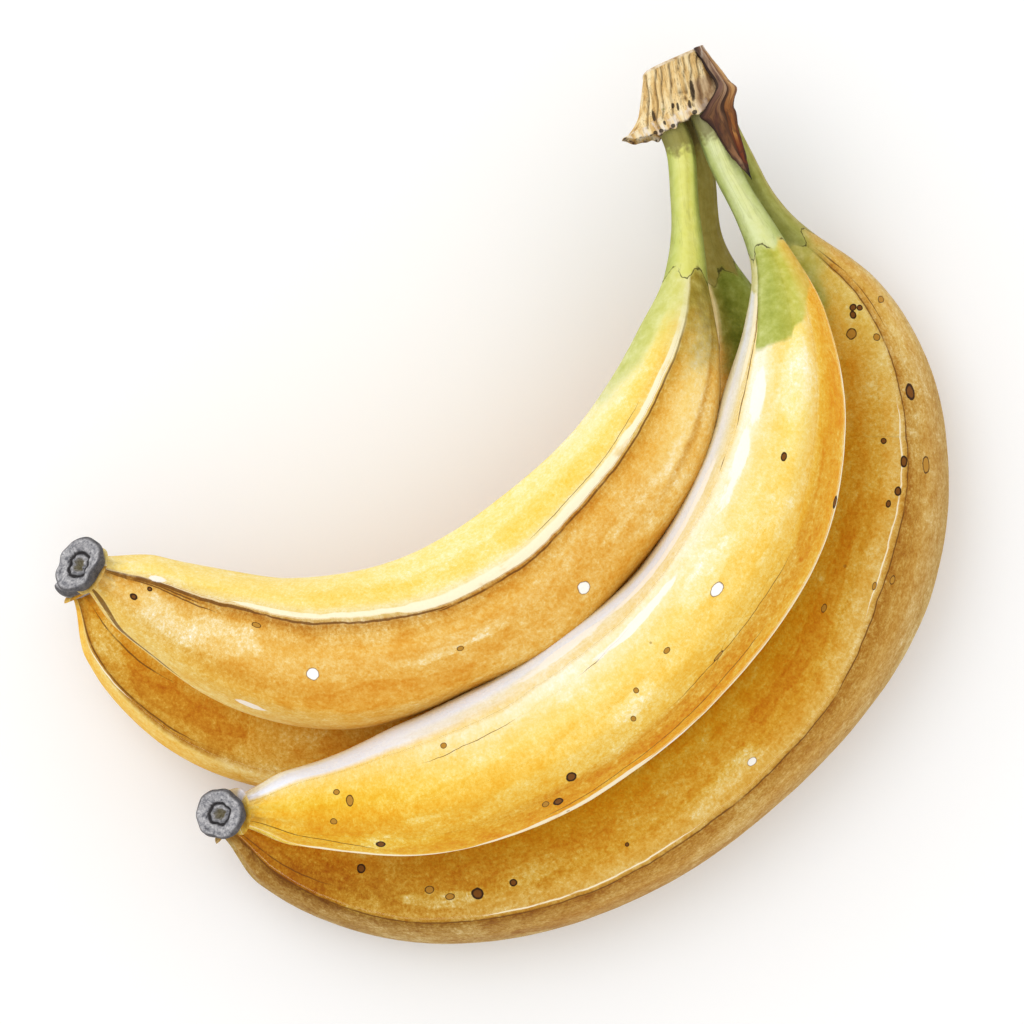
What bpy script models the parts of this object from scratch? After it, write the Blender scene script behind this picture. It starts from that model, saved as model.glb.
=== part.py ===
"""A bunch of four bananas lying on its side.

Two fingers lie on the ground and two rest on top of them. All four stalks run into one
crown, which carries a dried bract, and each finger ends in a dried blossom end.
Metres, +Z up, origin at the centre of the bottom of the whole bunch's box.
"""

import math

import bmesh
import bpy
import numpy as np
from mathutils import Matrix, Vector

# Driving dimensions, in metres
BUNCH_REACH = 0.200  # scale of the routes: a route is a list of shares of this length
FINGER_GIRTH = 0.0352  # across the ridges of a finger at its belly
STALK_LENGTH = 0.0385
STALK_WIDTH = 0.0064
STALK_SPACING = 0.0018  # clear space between two stalks of one row, at the crown
ROW_SPACING = 0.0029  # clear space between the upper and the lower row of stalks
STALK_OFFSET = 0.0020  # the stalks stand off the crown's middle, on the bract's side
CROWN_LENGTH = 0.0124
CROWN_RIM = 0.0011  # crown wood outside the outermost stalk
CUT_WIDTH = 0.0146  # the cut face on top of the crown, both ways
BLOSSOM_WIDTH = 0.0108
BLOSSOM_LENGTH = 0.0032
BRACT_DROP = 0.0190  # how far the bract hangs past the crown, over the stalks
BRACT_THICKNESS = 0.0010
BRACT_CLEARANCE = 0.0009
FLAT_DEPTH = 0.0004  # how much of a lower finger's belly the flat rest patch takes off
GAP = 0.0003  # between pieces that touch

# Angles, in degrees
CROWN_SLANT = 24.0  # the crown's base and cut face, turned from the X axis

# Shares of a finger's length
RISE_END = 0.30  # by here it has left the crown's height
LYING_END = 0.80  # a lower finger lies on the ground up to here

# Mesh density
RING_STEP = 0.0070
POINTS_PER_FACET = 4
BLOSSOM_STEPS = 20
BRACT_COLUMNS = 8

SPREAD_TRIES = 6  # steps in which crowded fingers of one row are moved apart

# Share of the belly radius along a finger's body, from the calyx (0) to the tip (1)
EVEN_GIRTH = (
    (0.00, 0.27), (0.08, 0.55), (0.19, 0.86), (0.33, 1.00), (0.50, 0.97),
    (0.68, 0.95), (0.80, 0.83), (0.91, 0.56), (1.00, 0.31),
)
LATE_GIRTH = (
    (0.00, 0.27), (0.08, 0.49), (0.19, 0.67), (0.34, 0.77), (0.50, 0.91),
    (0.65, 1.00), (0.78, 0.87), (0.91, 0.57), (1.00, 0.30),
)

# Each finger's route in plan, from just past its root to its tip, in shares of
# BUNCH_REACH. The row is +1 on top and -1 underneath. The column is its place at the
# crown, in stalk pitches. Ridge angles turn from the outer side (0) over the top (90) to
# the inner side (180), and the twist is added towards the tip. The lift raises the tip.
FINGERS = {
    "banana_b": {
        "row": -1, "column": -0.25, "girth": EVEN_GIRTH, "belly": 1.03, "lift": 0.003,
        "first_ridge": 48.0, "twist": 0.0,
        "route": ((0.245, 0.366), (0.252, 0.303), (0.281, 0.238), (0.300, 0.142), (0.281, 0.028),
                  (0.204, -0.081), (0.098, -0.173), (-0.022, -0.247), (-0.143, -0.276),
                  (-0.251, -0.276), (-0.359, -0.249), (-0.443, -0.190), (-0.503, -0.099)),
    },
    "banana_d": {
        "row": -1, "column": 0.75, "girth": EVEN_GIRTH, "belly": 1.05, "lift": 0.003,
        "first_ridge": 62.0, "twist": -18.0,
        "route": ((0.292, 0.401), (0.331, 0.333), (0.412, 0.243), (0.452, 0.151), (0.461, 0.066),
                  (0.451, -0.026), (0.402, -0.157), (0.327, -0.256), (0.200, -0.365),
                  (0.056, -0.435), (-0.113, -0.464), (-0.246, -0.436), (-0.332, -0.383)),
    },
    "banana_a": {
        "row": 1, "column": -0.75, "girth": LATE_GIRTH, "belly": 1.09, "lift": 0.013,
        "first_ridge": 96.0, "twist": 31.0,
        "route": ((0.219, 0.373), (0.223, 0.303), (0.212, 0.197), (0.158, 0.060), (0.072, -0.038),
                  (-0.023, -0.119), (-0.136, -0.173), (-0.262, -0.175), (-0.381, -0.129),
                  (-0.482, -0.075)),
    },
    "banana_c": {
        "row": 1, "column": 0.25, "girth": EVEN_GIRTH, "belly": 1.00, "lift": 0.015,
        "first_ridge": 75.0, "twist": 0.0,
        "route": ((0.263, 0.404), (0.289, 0.350), (0.318, 0.290), (0.336, 0.213), (0.336, 0.142),
                  (0.309, 0.000), (0.239, -0.123), (0.140, -0.226), (0.019, -0.303),
                  (-0.115, -0.346), (-0.254, -0.357), (-0.318, -0.360)),
    },
}
CROWN_BASE = (0.219, 0.458)  # the middle of the crown's base in plan, in the same shares
RIDGES = 5
RIDGE_DEPTH = 0.45  # 0 is a round finger, 1 has flat sides and sharp ridges
LIFT_LENGTH = 0.042  # the stretch before the tip that lifts

MATERIALS = {
    "peel": ((0.72, 0.42, 0.05), 0.45),
    "blossom_end": ((0.16, 0.15, 0.15), 0.90),
    "crown": ((0.36, 0.26, 0.14), 0.90),
    "bract": ((0.16, 0.08, 0.04), 0.85),
}


def clear_scene():
    """Remove whatever the scene holds at the start."""
    for obj in list(bpy.data.objects):
        bpy.data.objects.remove(obj, do_unlink=True)


def make_material(name):
    """Return the Principled material of that name, with its colour and roughness."""
    colour, roughness = MATERIALS[name]
    material = bpy.data.materials.get(name) or bpy.data.materials.new(name)
    material.use_nodes = True
    shader = material.node_tree.nodes["Principled BSDF"]
    shader.inputs["Base Color"].default_value = (*colour, 1.0)
    shader.inputs["Roughness"].default_value = roughness
    shader.inputs["Metallic"].default_value = 0.0
    return material


def ease(share):
    """Go smoothly from 0 to 1."""
    share = np.clip(share, 0.0, 1.0)
    return share * share * (3.0 - 2.0 * share)


def natural_spline(knots, values, at):
    """Interpolate with a natural cubic spline."""
    count = len(knots)
    steps = np.diff(knots)
    slopes = np.diff(values) / steps
    system = np.eye(count)
    right = np.zeros(count)
    for i in range(1, count - 1):
        system[i, i - 1 : i + 2] = steps[i - 1], 2.0 * (steps[i - 1] + steps[i]), steps[i]
        right[i] = 6.0 * (slopes[i] - slopes[i - 1])
    bend = np.linalg.solve(system, right)
    span = np.clip(np.searchsorted(knots, at) - 1, 0, count - 2)
    step = steps[span]
    before = at - knots[span]
    after = knots[span + 1] - at
    cubic = (bend[span] * after**3 + bend[span + 1] * before**3) / (6.0 * step)
    start = (values[span] / step - bend[span] * step / 6.0) * after
    end = (values[span + 1] / step - bend[span + 1] * step / 6.0) * before
    return cubic + start + end


def even_spline(knots, values, at):
    """Interpolate with a cubic that never overshoots its values."""
    steps = np.diff(knots)
    slopes = np.diff(values) / steps
    tangents = np.zeros(len(knots))
    for i in range(1, len(knots) - 1):
        if slopes[i - 1] * slopes[i] > 0.0:
            tangents[i] = 2.0 * slopes[i - 1] * slopes[i] / (slopes[i - 1] + slopes[i])
    tangents[0] = slopes[0]
    tangents[-1] = slopes[-1]
    span = np.clip(np.searchsorted(knots, at) - 1, 0, len(knots) - 2)
    step = steps[span]
    share = (at - knots[span]) / step
    start = values[span] * (1.0 + 2.0 * share) * (1.0 - share) ** 2
    end = values[span + 1] * share**2 * (3.0 - 2.0 * share)
    leave = tangents[span] * step * share * (1.0 - share) ** 2
    reach = tangents[span + 1] * step * share**2 * (share - 1.0)
    return start + end + leave + reach


def distances(points):
    """Return the distance of each point from the first, along the points."""
    steps = np.linalg.norm(np.diff(points, axis=0), axis=1)
    return np.concatenate(([0.0], np.cumsum(steps)))


def crown_axes():
    """Return the plan directions across the crown's base and out of it, to the stalks."""
    slant = math.radians(CROWN_SLANT)
    across = np.array((math.cos(slant), math.sin(slant)))
    out = np.array((math.sin(slant), -math.cos(slant)))
    return across, out


def stalk_pitch():
    """Return the distance between two stalks of one row, at the crown."""
    return STALK_WIDTH + STALK_SPACING


def crown_height():
    """Return the height of the crown's middle: the seam between the two layers."""
    return FINGER_GIRTH - FLAT_DEPTH


def root_height(row):
    """Return the height of a stalk's root in the upper or the lower row."""
    return crown_height() + row * (STALK_WIDTH + ROW_SPACING) / 2.0


def root_point(column):
    """Return the plan point where a stalk leaves the crown."""
    across, out = crown_axes()
    base = np.array(CROWN_BASE) * BUNCH_REACH
    return base + across * (STALK_OFFSET + column * stalk_pitch()) + out * GAP


def plan_route(finger, spread=0.0):
    """Return a finger's plan points, evenly spaced, and their distance from its root.

    The spread moves the finger's body towards its outer side.
    """
    root = root_point(finger["column"])
    out = crown_axes()[1]
    points = [root, root + out * STALK_WIDTH]
    points += [np.array(point) * BUNCH_REACH for point in finger["route"]]
    points = np.array(points)
    along = np.gradient(points, axis=0)
    outer_side = np.column_stack((-along[:, 1], along[:, 0])) / np.linalg.norm(along, axis=1)[:, None]
    past_stalk = distances(points) / STALK_LENGTH - 1.0
    points += outer_side * ease(past_stalk)[:, None] * spread
    knots = distances(points)
    fine = np.linspace(0.0, knots[-1], 600)
    curve = np.stack([natural_spline(knots, points[:, axis], fine) for axis in (0, 1)], axis=1)
    along = distances(curve)
    count = int(round(along[-1] / RING_STEP)) + 1
    places = np.linspace(0.0, along[-1], count)
    plan = np.stack([np.interp(places, along, curve[:, axis]) for axis in (0, 1)], axis=1)
    return plan, places


def spread_route(finger, beside):
    """Return a finger's plan, places and radii, clear of the fingers beside it in its row."""
    spread = 0.0
    for _ in range(SPREAD_TRIES):
        plan, places = plan_route(finger, spread)
        radii = finger_radii(finger, places)
        crowding = 0.0
        for other_plan, other_radii in beside:
            apart = np.linalg.norm(plan[:, None] - other_plan[None], axis=2)
            reach = radii[:, None] + other_radii[None] + GAP
            crowding = max(crowding, (reach - apart)[places > STALK_LENGTH].max())
        if crowding <= 0.0:
            break
        spread += crowding
    return plan, places, radii


def finger_radii(finger, places):
    """Return the ridge radius at each place along a finger."""
    belly = FINGER_GIRTH / 2.0 * finger["belly"]
    body_shares, belly_shares = np.array(finger["girth"]).T
    body = places[-1] - STALK_LENGTH
    knots = np.concatenate(([0.0, STALK_LENGTH * 0.55], STALK_LENGTH + body_shares * body))
    stalk = (STALK_WIDTH / 2.0 * 1.06, STALK_WIDTH / 2.0)
    return even_spline(knots, np.concatenate((stalk, belly_shares * belly)), places)


def section_shape(ridge_depth):
    """Return the angles past the first ridge and the radius shares of a ridged section."""
    gap = 2.0 * math.pi / RIDGES
    angles = np.arange(RIDGES * POINTS_PER_FACET) * gap / POINTS_PER_FACET
    past = angles % gap
    flat_side = math.cos(gap / 2.0) / np.cos(past - gap / 2.0)
    return angles, 1.0 - ridge_depth * (1.0 - flat_side)


def finger_rings(finger, plan, heights, places, radii):
    """Return the rings of points that a finger is lofted through."""
    spine = np.column_stack((plan, heights))
    tangents = np.gradient(spine, axis=0)
    tangents[0] = (*crown_axes()[1], 0.0)
    tangents /= np.linalg.norm(tangents, axis=1)[:, None]
    share = places / places[-1]
    rings = []
    for point, tangent, place, radius in zip(spine, tangents, share, radii):
        side = np.array((-tangent[1], tangent[0], 0.0))
        side /= np.linalg.norm(side)
        up = np.cross(tangent, side)
        ridged = RIDGE_DEPTH * ease(place / 0.3) * ease((1.0 - place) / 0.12)
        angles, shares = section_shape(ridged)
        angles = angles + math.radians(finger["first_ridge"] + finger["twist"] * place)
        ring = [
            point + radius * share_here * (math.cos(angle) * side + math.sin(angle) * up)
            for angle, share_here in zip(angles, shares)
        ]
        rings.append(ring)
    return rings


def lying_heights(finger, plan, places, radii):
    """Return the heights at which a lower finger lies along the ground on its belly."""
    rings = finger_rings(finger, plan, np.zeros(len(places)), places, radii)
    drops = np.array([-min(point[2] for point in ring) for ring in rings])
    behind_belly = drops[int(LYING_END * (len(places) - 1))]
    return np.maximum(drops, behind_belly) - FLAT_DEPTH


def stacked_height(plan, lift, rise, root, radii, placed):
    """Return the height at which an upper finger clears those already placed by the gap."""
    level = root
    for other_plan, other_heights, other_radii in placed:
        apart = np.linalg.norm(plan[:, None] - other_plan[None], axis=2)
        reach = radii[:, None] + other_radii[None] + GAP
        over = np.sqrt(np.clip(reach**2 - apart**2, 0.0, None))
        need = np.where(apart < reach, other_heights[None] + over, 0.0).max(axis=1) - lift
        risen = (rise > 0.25) & (need > root)
        if risen.any():
            level = max(level, (root + (need[risen] - root) / rise[risen]).max())
    return level


def finger_heights(finger, places, radii, plan, placed):
    """Return the heights along a finger, from its root at the crown to its raised tip."""
    root = root_height(finger["row"])
    rise = ease(places / (places[-1] * RISE_END))
    lift = finger["lift"] * np.clip((places - places[-1] + LIFT_LENGTH) / LIFT_LENGTH, 0.0, 1.0) ** 2
    if finger["row"] < 0:
        level = lying_heights(finger, plan, places, radii)
    else:
        level = stacked_height(plan, lift, rise, root, radii, placed)
    return root + (level - root) * rise + lift


def add_object(name, mesh, material, collection, frame):
    """Link a mesh as a named, smooth-shaded object under the bunch's frame."""
    mesh.materials.append(make_material(material))
    mesh.shade_smooth()
    mesh.set_sharp_from_angle(angle=math.radians(35.0))
    obj = bpy.data.objects.new(name, mesh)
    obj.parent = frame
    collection.objects.link(obj)
    return obj


def loft(name, rings, closed_ring=True):
    """Return a mesh through the rings: a capped solid, or an open sheet."""
    bm = bmesh.new()
    rows = [[bm.verts.new(point) for point in ring] for ring in rings]
    last = len(rows[0]) if closed_ring else len(rows[0]) - 1
    for near, far in zip(rows, rows[1:]):
        for i in range(last):
            j = (i + 1) % len(near)
            bm.faces.new((near[i], near[j], far[j], far[i]))
    if closed_ring:
        bm.faces.new(rows[0])
        bm.faces.new(rows[-1])
        bmesh.ops.recalc_face_normals(bm, faces=bm.faces[:])
    mesh = bpy.data.meshes.new(name)
    bm.to_mesh(mesh)
    bm.free()
    return mesh


def flatten_bottom(mesh):
    """Cut a mesh off at the ground and close it with a flat face to rest on."""
    bm = bmesh.new()
    bm.from_mesh(mesh)
    everything = bm.verts[:] + bm.edges[:] + bm.faces[:]
    bmesh.ops.bisect_plane(bm, geom=everything, dist=1e-7, plane_no=(0, 0, 1), clear_inner=True)
    bmesh.ops.holes_fill(bm, edges=[edge for edge in bm.edges if edge.is_boundary])
    bmesh.ops.recalc_face_normals(bm, faces=bm.faces[:])
    bm.to_mesh(mesh)
    bm.free()


def build_blossom_end(name, tip, direction, collection, frame):
    """Turn the dried blossom end: a corky button with a raised rim and a central pit."""
    half = BLOSSOM_WIDTH / 2.0
    profile = (
        (0.00, 0.62), (0.22, 0.66), (0.38, 0.90), (0.56, 0.80), (0.78, 1.00),
        (0.97, 0.72), (1.00, 0.34), (0.86, 0.00), (0.00, 0.00),
    )
    points = [(x * half, 0.0, z * BLOSSOM_LENGTH) for x, z in profile]
    mesh = bpy.data.meshes.new(name)
    mesh.from_pydata(points, [(i, i + 1) for i in range(len(points) - 1)], [])
    obj = add_object(name, mesh, "blossom_end", collection, frame)
    turn = obj.modifiers.new("turn", "SCREW")
    turn.axis = "Z"
    turn.steps = turn.render_steps = BLOSSOM_STEPS
    turn.use_merge_vertices = True
    turn.merge_threshold = 1e-5
    place = Matrix.Translation(Vector(tip) + Vector(direction) * GAP)
    obj.matrix_local = place @ Vector(direction).to_track_quat("Z", "Y").to_matrix().to_4x4()


def crown_half_width():
    """Return half the width of the crown's base: the outermost stalk and the rim."""
    return 0.75 * stalk_pitch() + STALK_WIDTH / 2.0 + STALK_OFFSET + CROWN_RIM


def crown_half_depth():
    """Return half the depth of the crown's base: both rows of stalks and the rim."""
    return (STALK_WIDTH + ROW_SPACING) / 2.0 + STALK_WIDTH / 2.0 + CROWN_RIM


def crown_section(share, margin=0.0):
    """Return the crown's middle and half sizes, from its base (0) to its cut face (1)."""
    waist = share**0.8
    width = crown_half_width() * (1.0 - waist) + CUT_WIDTH / 2.0 * waist + margin
    depth = crown_half_depth() * (1.0 - waist) + CUT_WIDTH / 2.0 * waist + margin
    base = np.array(CROWN_BASE) * BUNCH_REACH
    return base + np.array((-0.2, 1.0)) * CROWN_LENGTH * share, width, depth


def boxy_point(angle, width, depth):
    """Return a point of a rounded rectangle: across and up."""
    cosine, sine = math.cos(angle), math.sin(angle)
    roundness = 2.0 / 3.0
    across = math.copysign(abs(cosine) ** roundness, cosine) * width
    return across, math.copysign(abs(sine) ** roundness, sine) * depth


def build_crown(collection, frame):
    """Loft the woody crown from its wide base to the cut face."""
    across = crown_axes()[0]
    rings = []
    for share in (0.0, 0.1, 0.25, 0.45, 0.65, 0.85, 1.0):
        middle, width, depth = crown_section(share)
        ring = []
        for angle in np.linspace(0.0, 2.0 * math.pi, 25)[:-1]:
            side, up = boxy_point(angle, width, depth)
            ring.append((*(middle + across * side), crown_height() + up))
        rings.append(ring)
    add_object("crown", loft("crown", rings), "crown", collection, frame)


def bract_section(share, stalk_c, stalk_d):
    """Return the bract's middle, height and half sizes at a share of its drop: it wraps
    the two stalks it hangs over."""
    c_point, d_point = stalk_c(share * BRACT_DROP), stalk_d(share * BRACT_DROP)
    middle = (c_point + d_point) / 2.0
    spread = np.abs(d_point - c_point) / 2.0
    margin = STALK_WIDTH * 0.56 + BRACT_CLEARANCE
    return middle[:2], middle[2], np.linalg.norm(spread[:2]) + margin, spread[2] + margin


def build_bract(spines, collection, frame):
    """Wrap the dried bract round the crown's outer corner and over two stalks."""
    across = crown_axes()[0]

    def spine_point(name):
        spine, places = spines[name]
        return lambda place: np.array([np.interp(place, places, spine[:, i]) for i in range(3)])

    stalk_c, stalk_d = spine_point("banana_c"), spine_point("banana_d")
    rows = []
    for share, left, right in ((1.0, 52, 8), (0.75, 52, -4), (0.45, 54, -8), (0.2, 66, -8), (0.0, 80, 0)):
        middle, width, depth = crown_section(share, BRACT_CLEARANCE)
        rows.append((middle, crown_height(), width, depth, left, right))
    for share, left, right in ((0.2, 112, 30), (0.45, 106, 62), (0.7, 96, 74), (1.0, 90, 82)):
        rows.append((*bract_section(share, stalk_c, stalk_d), left, right))
    rings = []
    for middle, height, width, depth, left, right in rows:
        ring = []
        for angle in np.radians(np.linspace(left, right, BRACT_COLUMNS)):
            side, up = boxy_point(angle, width, depth)
            ring.append((*(middle + across * side), height + up))
        rings.append(ring)
    sheet = add_object("dried_bract", loft("dried_bract", rings, closed_ring=False), "bract", collection, frame)
    wall = sheet.modifiers.new("wall", "SOLIDIFY")
    wall.thickness = BRACT_THICKNESS
    wall.offset = -1.0


def stand_on_origin(frame, objects):
    """Move the bunch so that the middle of its box's bottom is the origin."""
    bpy.context.view_layer.update()
    graph = bpy.context.evaluated_depsgraph_get()
    corners = []
    for obj in objects:
        evaluated = obj.evaluated_get(graph)
        mesh = evaluated.to_mesh()
        corners += [evaluated.matrix_world @ vertex.co for vertex in mesh.vertices]
        evaluated.to_mesh_clear()
    corners = np.array(corners)
    low, high = corners.min(axis=0), corners.max(axis=0)
    frame.location = (-(low[0] + high[0]) / 2.0, -(low[1] + high[1]) / 2.0, -low[2])


def main():
    """Build every piece of the bunch."""
    clear_scene()
    collection = bpy.data.collections.new("banana_bunch")
    bpy.context.scene.collection.children.link(collection)
    frame = bpy.data.objects.new("bunch_frame", None)
    collection.objects.link(frame)
    placed = []
    spines = {}
    rows = {1: [], -1: []}
    for name, finger in FINGERS.items():
        plan, places, radii = spread_route(finger, rows[finger["row"]])
        rows[finger["row"]].append((plan, radii))
        heights = finger_heights(finger, places, radii, plan, placed)
        placed.append((plan, heights, radii))
        spines[name] = (np.column_stack((plan, heights)), places)
        mesh = loft(name, finger_rings(finger, plan, heights, places, radii))
        if finger["row"] < 0:
            flatten_bottom(mesh)
        add_object(name, mesh, "peel", collection, frame)
        spine = spines[name][0]
        direction = spine[-1] - spine[-2]
        direction /= np.linalg.norm(direction)
        build_blossom_end(name.replace("banana", "blossom_end"), spine[-1], direction, collection, frame)
    build_crown(collection, frame)
    build_bract(spines, collection, frame)
    stand_on_origin(frame, [obj for obj in collection.objects if obj.type == "MESH"])


main()
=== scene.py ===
"""Looks of a bunch of four bananas that lies on its side, on a pale floor.

Every piece is modelled straight and upright with its own simple coordinates, which are
kept on the mesh as the "straight" attribute for its finish, and is then bent or turned
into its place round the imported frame. Metres throughout, +Z up.
"""

from __future__ import annotations

import logging
import math
from dataclasses import dataclass
from enum import Enum

import bpy
import numpy as np
from mathutils import Matrix, Vector


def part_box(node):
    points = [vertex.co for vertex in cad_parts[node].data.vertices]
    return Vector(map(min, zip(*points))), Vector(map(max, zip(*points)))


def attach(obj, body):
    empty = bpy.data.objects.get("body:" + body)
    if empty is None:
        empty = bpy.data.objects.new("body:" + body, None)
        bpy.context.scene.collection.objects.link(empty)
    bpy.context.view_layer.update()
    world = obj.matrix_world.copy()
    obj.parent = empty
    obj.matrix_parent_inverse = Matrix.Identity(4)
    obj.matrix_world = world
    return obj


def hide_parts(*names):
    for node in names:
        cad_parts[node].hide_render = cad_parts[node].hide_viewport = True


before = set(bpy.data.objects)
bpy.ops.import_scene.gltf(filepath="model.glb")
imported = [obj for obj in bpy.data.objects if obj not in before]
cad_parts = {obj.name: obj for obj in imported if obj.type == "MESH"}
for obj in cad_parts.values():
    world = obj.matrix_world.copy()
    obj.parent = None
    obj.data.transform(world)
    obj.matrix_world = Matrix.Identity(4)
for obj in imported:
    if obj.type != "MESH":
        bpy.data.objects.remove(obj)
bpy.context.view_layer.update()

LOG = logging.getLogger("banana_bunch")
MM = 0.001
Band = tuple[float, str]
Point = tuple[float, float]
Socket = bpy.types.NodeSocket


# Node building


def linear(code: str) -> tuple[float, float, float, float]:
    """Turn a display colour into the linear one that shaders take.

    Args:
        code: The colour as six hexadecimal digits.

    Returns:
        Red, green, blue and an alpha of 1.
    """
    channels = [int(code[i : i + 2], 16) / 255.0 for i in (0, 2, 4)]
    bright = [c / 12.92 if c <= 0.04045 else ((c + 0.055) / 1.055) ** 2.4 for c in channels]
    return (bright[0], bright[1], bright[2], 1.0)


class Wiring:
    """Adds nodes to one node tree and links them."""

    def __init__(self, tree: bpy.types.NodeTree) -> None:
        """Keep the tree that the nodes are added to."""
        self.tree = tree

    def node(self, kind: str, **settings: object) -> bpy.types.Node:
        """Add a node.

        Args:
            kind: The node's type, without its ShaderNode prefix.
            settings: Properties to set on it.

        Returns:
            The new node.
        """
        made = self.tree.nodes.new("ShaderNode" + kind)
        for name, value in settings.items():
            setattr(made, name, value)
        return made

    def feed(self, socket: Socket, value: object) -> None:
        """Link a socket to another, or set its value.

        Args:
            socket: The input.
            value: An output socket, a number, a colour or a vector.
        """
        if isinstance(value, Socket):
            self.tree.links.new(value, socket)
        else:
            socket.default_value = value

    def math(self, operation: str, *values: object) -> Socket:
        """Work out a number.

        Args:
            operation: The Math node's operation.
            values: Its sockets or numbers, in order.

        Returns:
            The result's socket.
        """
        made = self.node("Math", operation=operation)
        for socket, value in zip(made.inputs, values):
            self.feed(socket, value)
        return made.outputs[0]

    def plus(self, first: object, second: object) -> Socket:
        """Return the sum of two values."""
        return self.math("ADD", first, second)

    def minus(self, first: object, second: object) -> Socket:
        """Return the first value less the second."""
        return self.math("SUBTRACT", first, second)

    def times(self, first: object, second: object) -> Socket:
        """Return the product of two values."""
        return self.math("MULTIPLY", first, second)

    def vector(self, operation: str, *values: object) -> Socket:
        """Work out a vector, or a number for a distance or a length.

        Args:
            operation: The Vector Math node's operation.
            values: Its sockets, vectors or numbers, in order.

        Returns:
            The result's socket.
        """
        made = self.node("VectorMath", operation=operation)
        for socket, value in zip(made.inputs, values):
            self.feed(socket, value)
        return made.outputs["Value" if operation in ("DISTANCE", "LENGTH") else "Vector"]

    def mix(self, share: object, first: object, second: object) -> Socket:
        """Mix two colours.

        Args:
            share: From 0, only the first, to 1, only the second.
            first: One colour.
            second: The other colour.

        Returns:
            The mixed colour's socket.
        """
        made = self.node("Mix", data_type="RGBA")
        self.feed(made.inputs[0], share)
        self.feed(made.inputs[6], first)
        self.feed(made.inputs[7], second)
        return made.outputs[2]

    def smooth(self, value: object, low: float, high: float) -> Socket:
        """Step from 0 to 1, eased in between.

        Args:
            value: The value to read.
            low: Where the step starts.
            high: Where it ends.

        Returns:
            The step's socket.
        """
        made = self.node("MapRange", interpolation_type="SMOOTHSTEP")
        self.feed(made.inputs["Value"], value)
        made.inputs["From Min"].default_value = low
        made.inputs["From Max"].default_value = high
        return made.outputs[0]

    def fade(self, value: object, low: float, high: float) -> Socket:
        """Return 1 below the low value and 0 above the high one, eased in between."""
        return self.minus(1.0, self.smooth(value, low, high))

    def paint(self, colour: object, mask: object, strength: float, code: str) -> Socket:
        """Return a colour with a display colour laid over it where the mask is 1."""
        return self.mix(self.times(mask, strength), colour, linear(code))

    def scale(self, value: object, low: float, high: float) -> Socket:
        """Return a value from 0 to 1 stretched to run from low to high."""
        return self.math("MULTIPLY_ADD", value, high - low, low)

    def noise(
        self, where: object, scale: float, detail: float = 2.0, roughness: float = 0.5,
    ) -> Socket:
        """Return a noise value from 0 to 1.

        Args:
            where: The coordinates.
            scale: Waves in a metre.
            detail: Finer octaves.
            roughness: Strength of the finer octaves.

        Returns:
            The value's socket.
        """
        made = self.node("TexNoise")
        self.feed(made.inputs["Vector"], where)
        made.inputs["Scale"].default_value = scale
        made.inputs["Detail"].default_value = detail
        made.inputs["Roughness"].default_value = roughness
        return made.outputs["Fac"]

    def stretched(self, where: object, along: float, across: float) -> Socket:
        """Return coordinates scaled along the piece and across it, for streaks."""
        return self.vector("MULTIPLY", where, (along, across, across))

    def ramp(self, value: object, stops: list[Band]) -> Socket:
        """Return the colour that a ramp gives a value.

        Args:
            value: From 0 to 1.
            stops: Places from 0 to 1 with their display colours, in order.

        Returns:
            The colour's socket.
        """
        made = self.node("ValToRGB")
        self.feed(made.inputs[0], value)
        elements = made.color_ramp.elements
        while len(elements) < len(stops):
            elements.new(1.0)
        for element, (place, code) in zip(elements, stops):
            element.position = place
            element.color = linear(code)
        return made.outputs[0]

    def curve(self, value: object, stops: list[Point]) -> Socket:
        """Return the number that a ramp of numbers gives a value.

        Args:
            value: From 0 to 1.
            stops: Places from 0 to 1 with their numbers, in order.

        Returns:
            The number's socket.
        """
        made = self.node("ValToRGB")
        self.feed(made.inputs[0], value)
        elements = made.color_ramp.elements
        while len(elements) < len(stops):
            elements.new(1.0)
        for element, (place, height) in zip(elements, stops):
            element.position = place
            element.color = (height, height, height, 1.0)
        return made.outputs[0]

    def combine(self, value: object) -> Socket:
        """Make a vector with the same value three times.

        Args:
            value: A socket or a number.

        Returns:
            The vector's socket.
        """
        made = self.node("CombineXYZ")
        for socket in made.inputs:
            self.feed(socket, value)
        return made.outputs[0]

    def separate(self, value: object) -> list[Socket]:
        """Take a vector apart.

        Args:
            value: The vector's socket.

        Returns:
            The sockets of its three values.
        """
        made = self.node("SeparateXYZ")
        self.feed(made.inputs[0], value)
        return list(made.outputs)

    def group(self, tree: bpy.types.NodeTree, **inputs: object) -> bpy.types.Node:
        """Place a node group and feed it.

        Args:
            tree: The group.
            inputs: Values for its inputs, by name.

        Returns:
            The placed node.
        """
        made = self.node("Group")
        made.node_tree = tree
        for name, value in inputs.items():
            self.feed(made.inputs[name], value)
        return made


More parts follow.
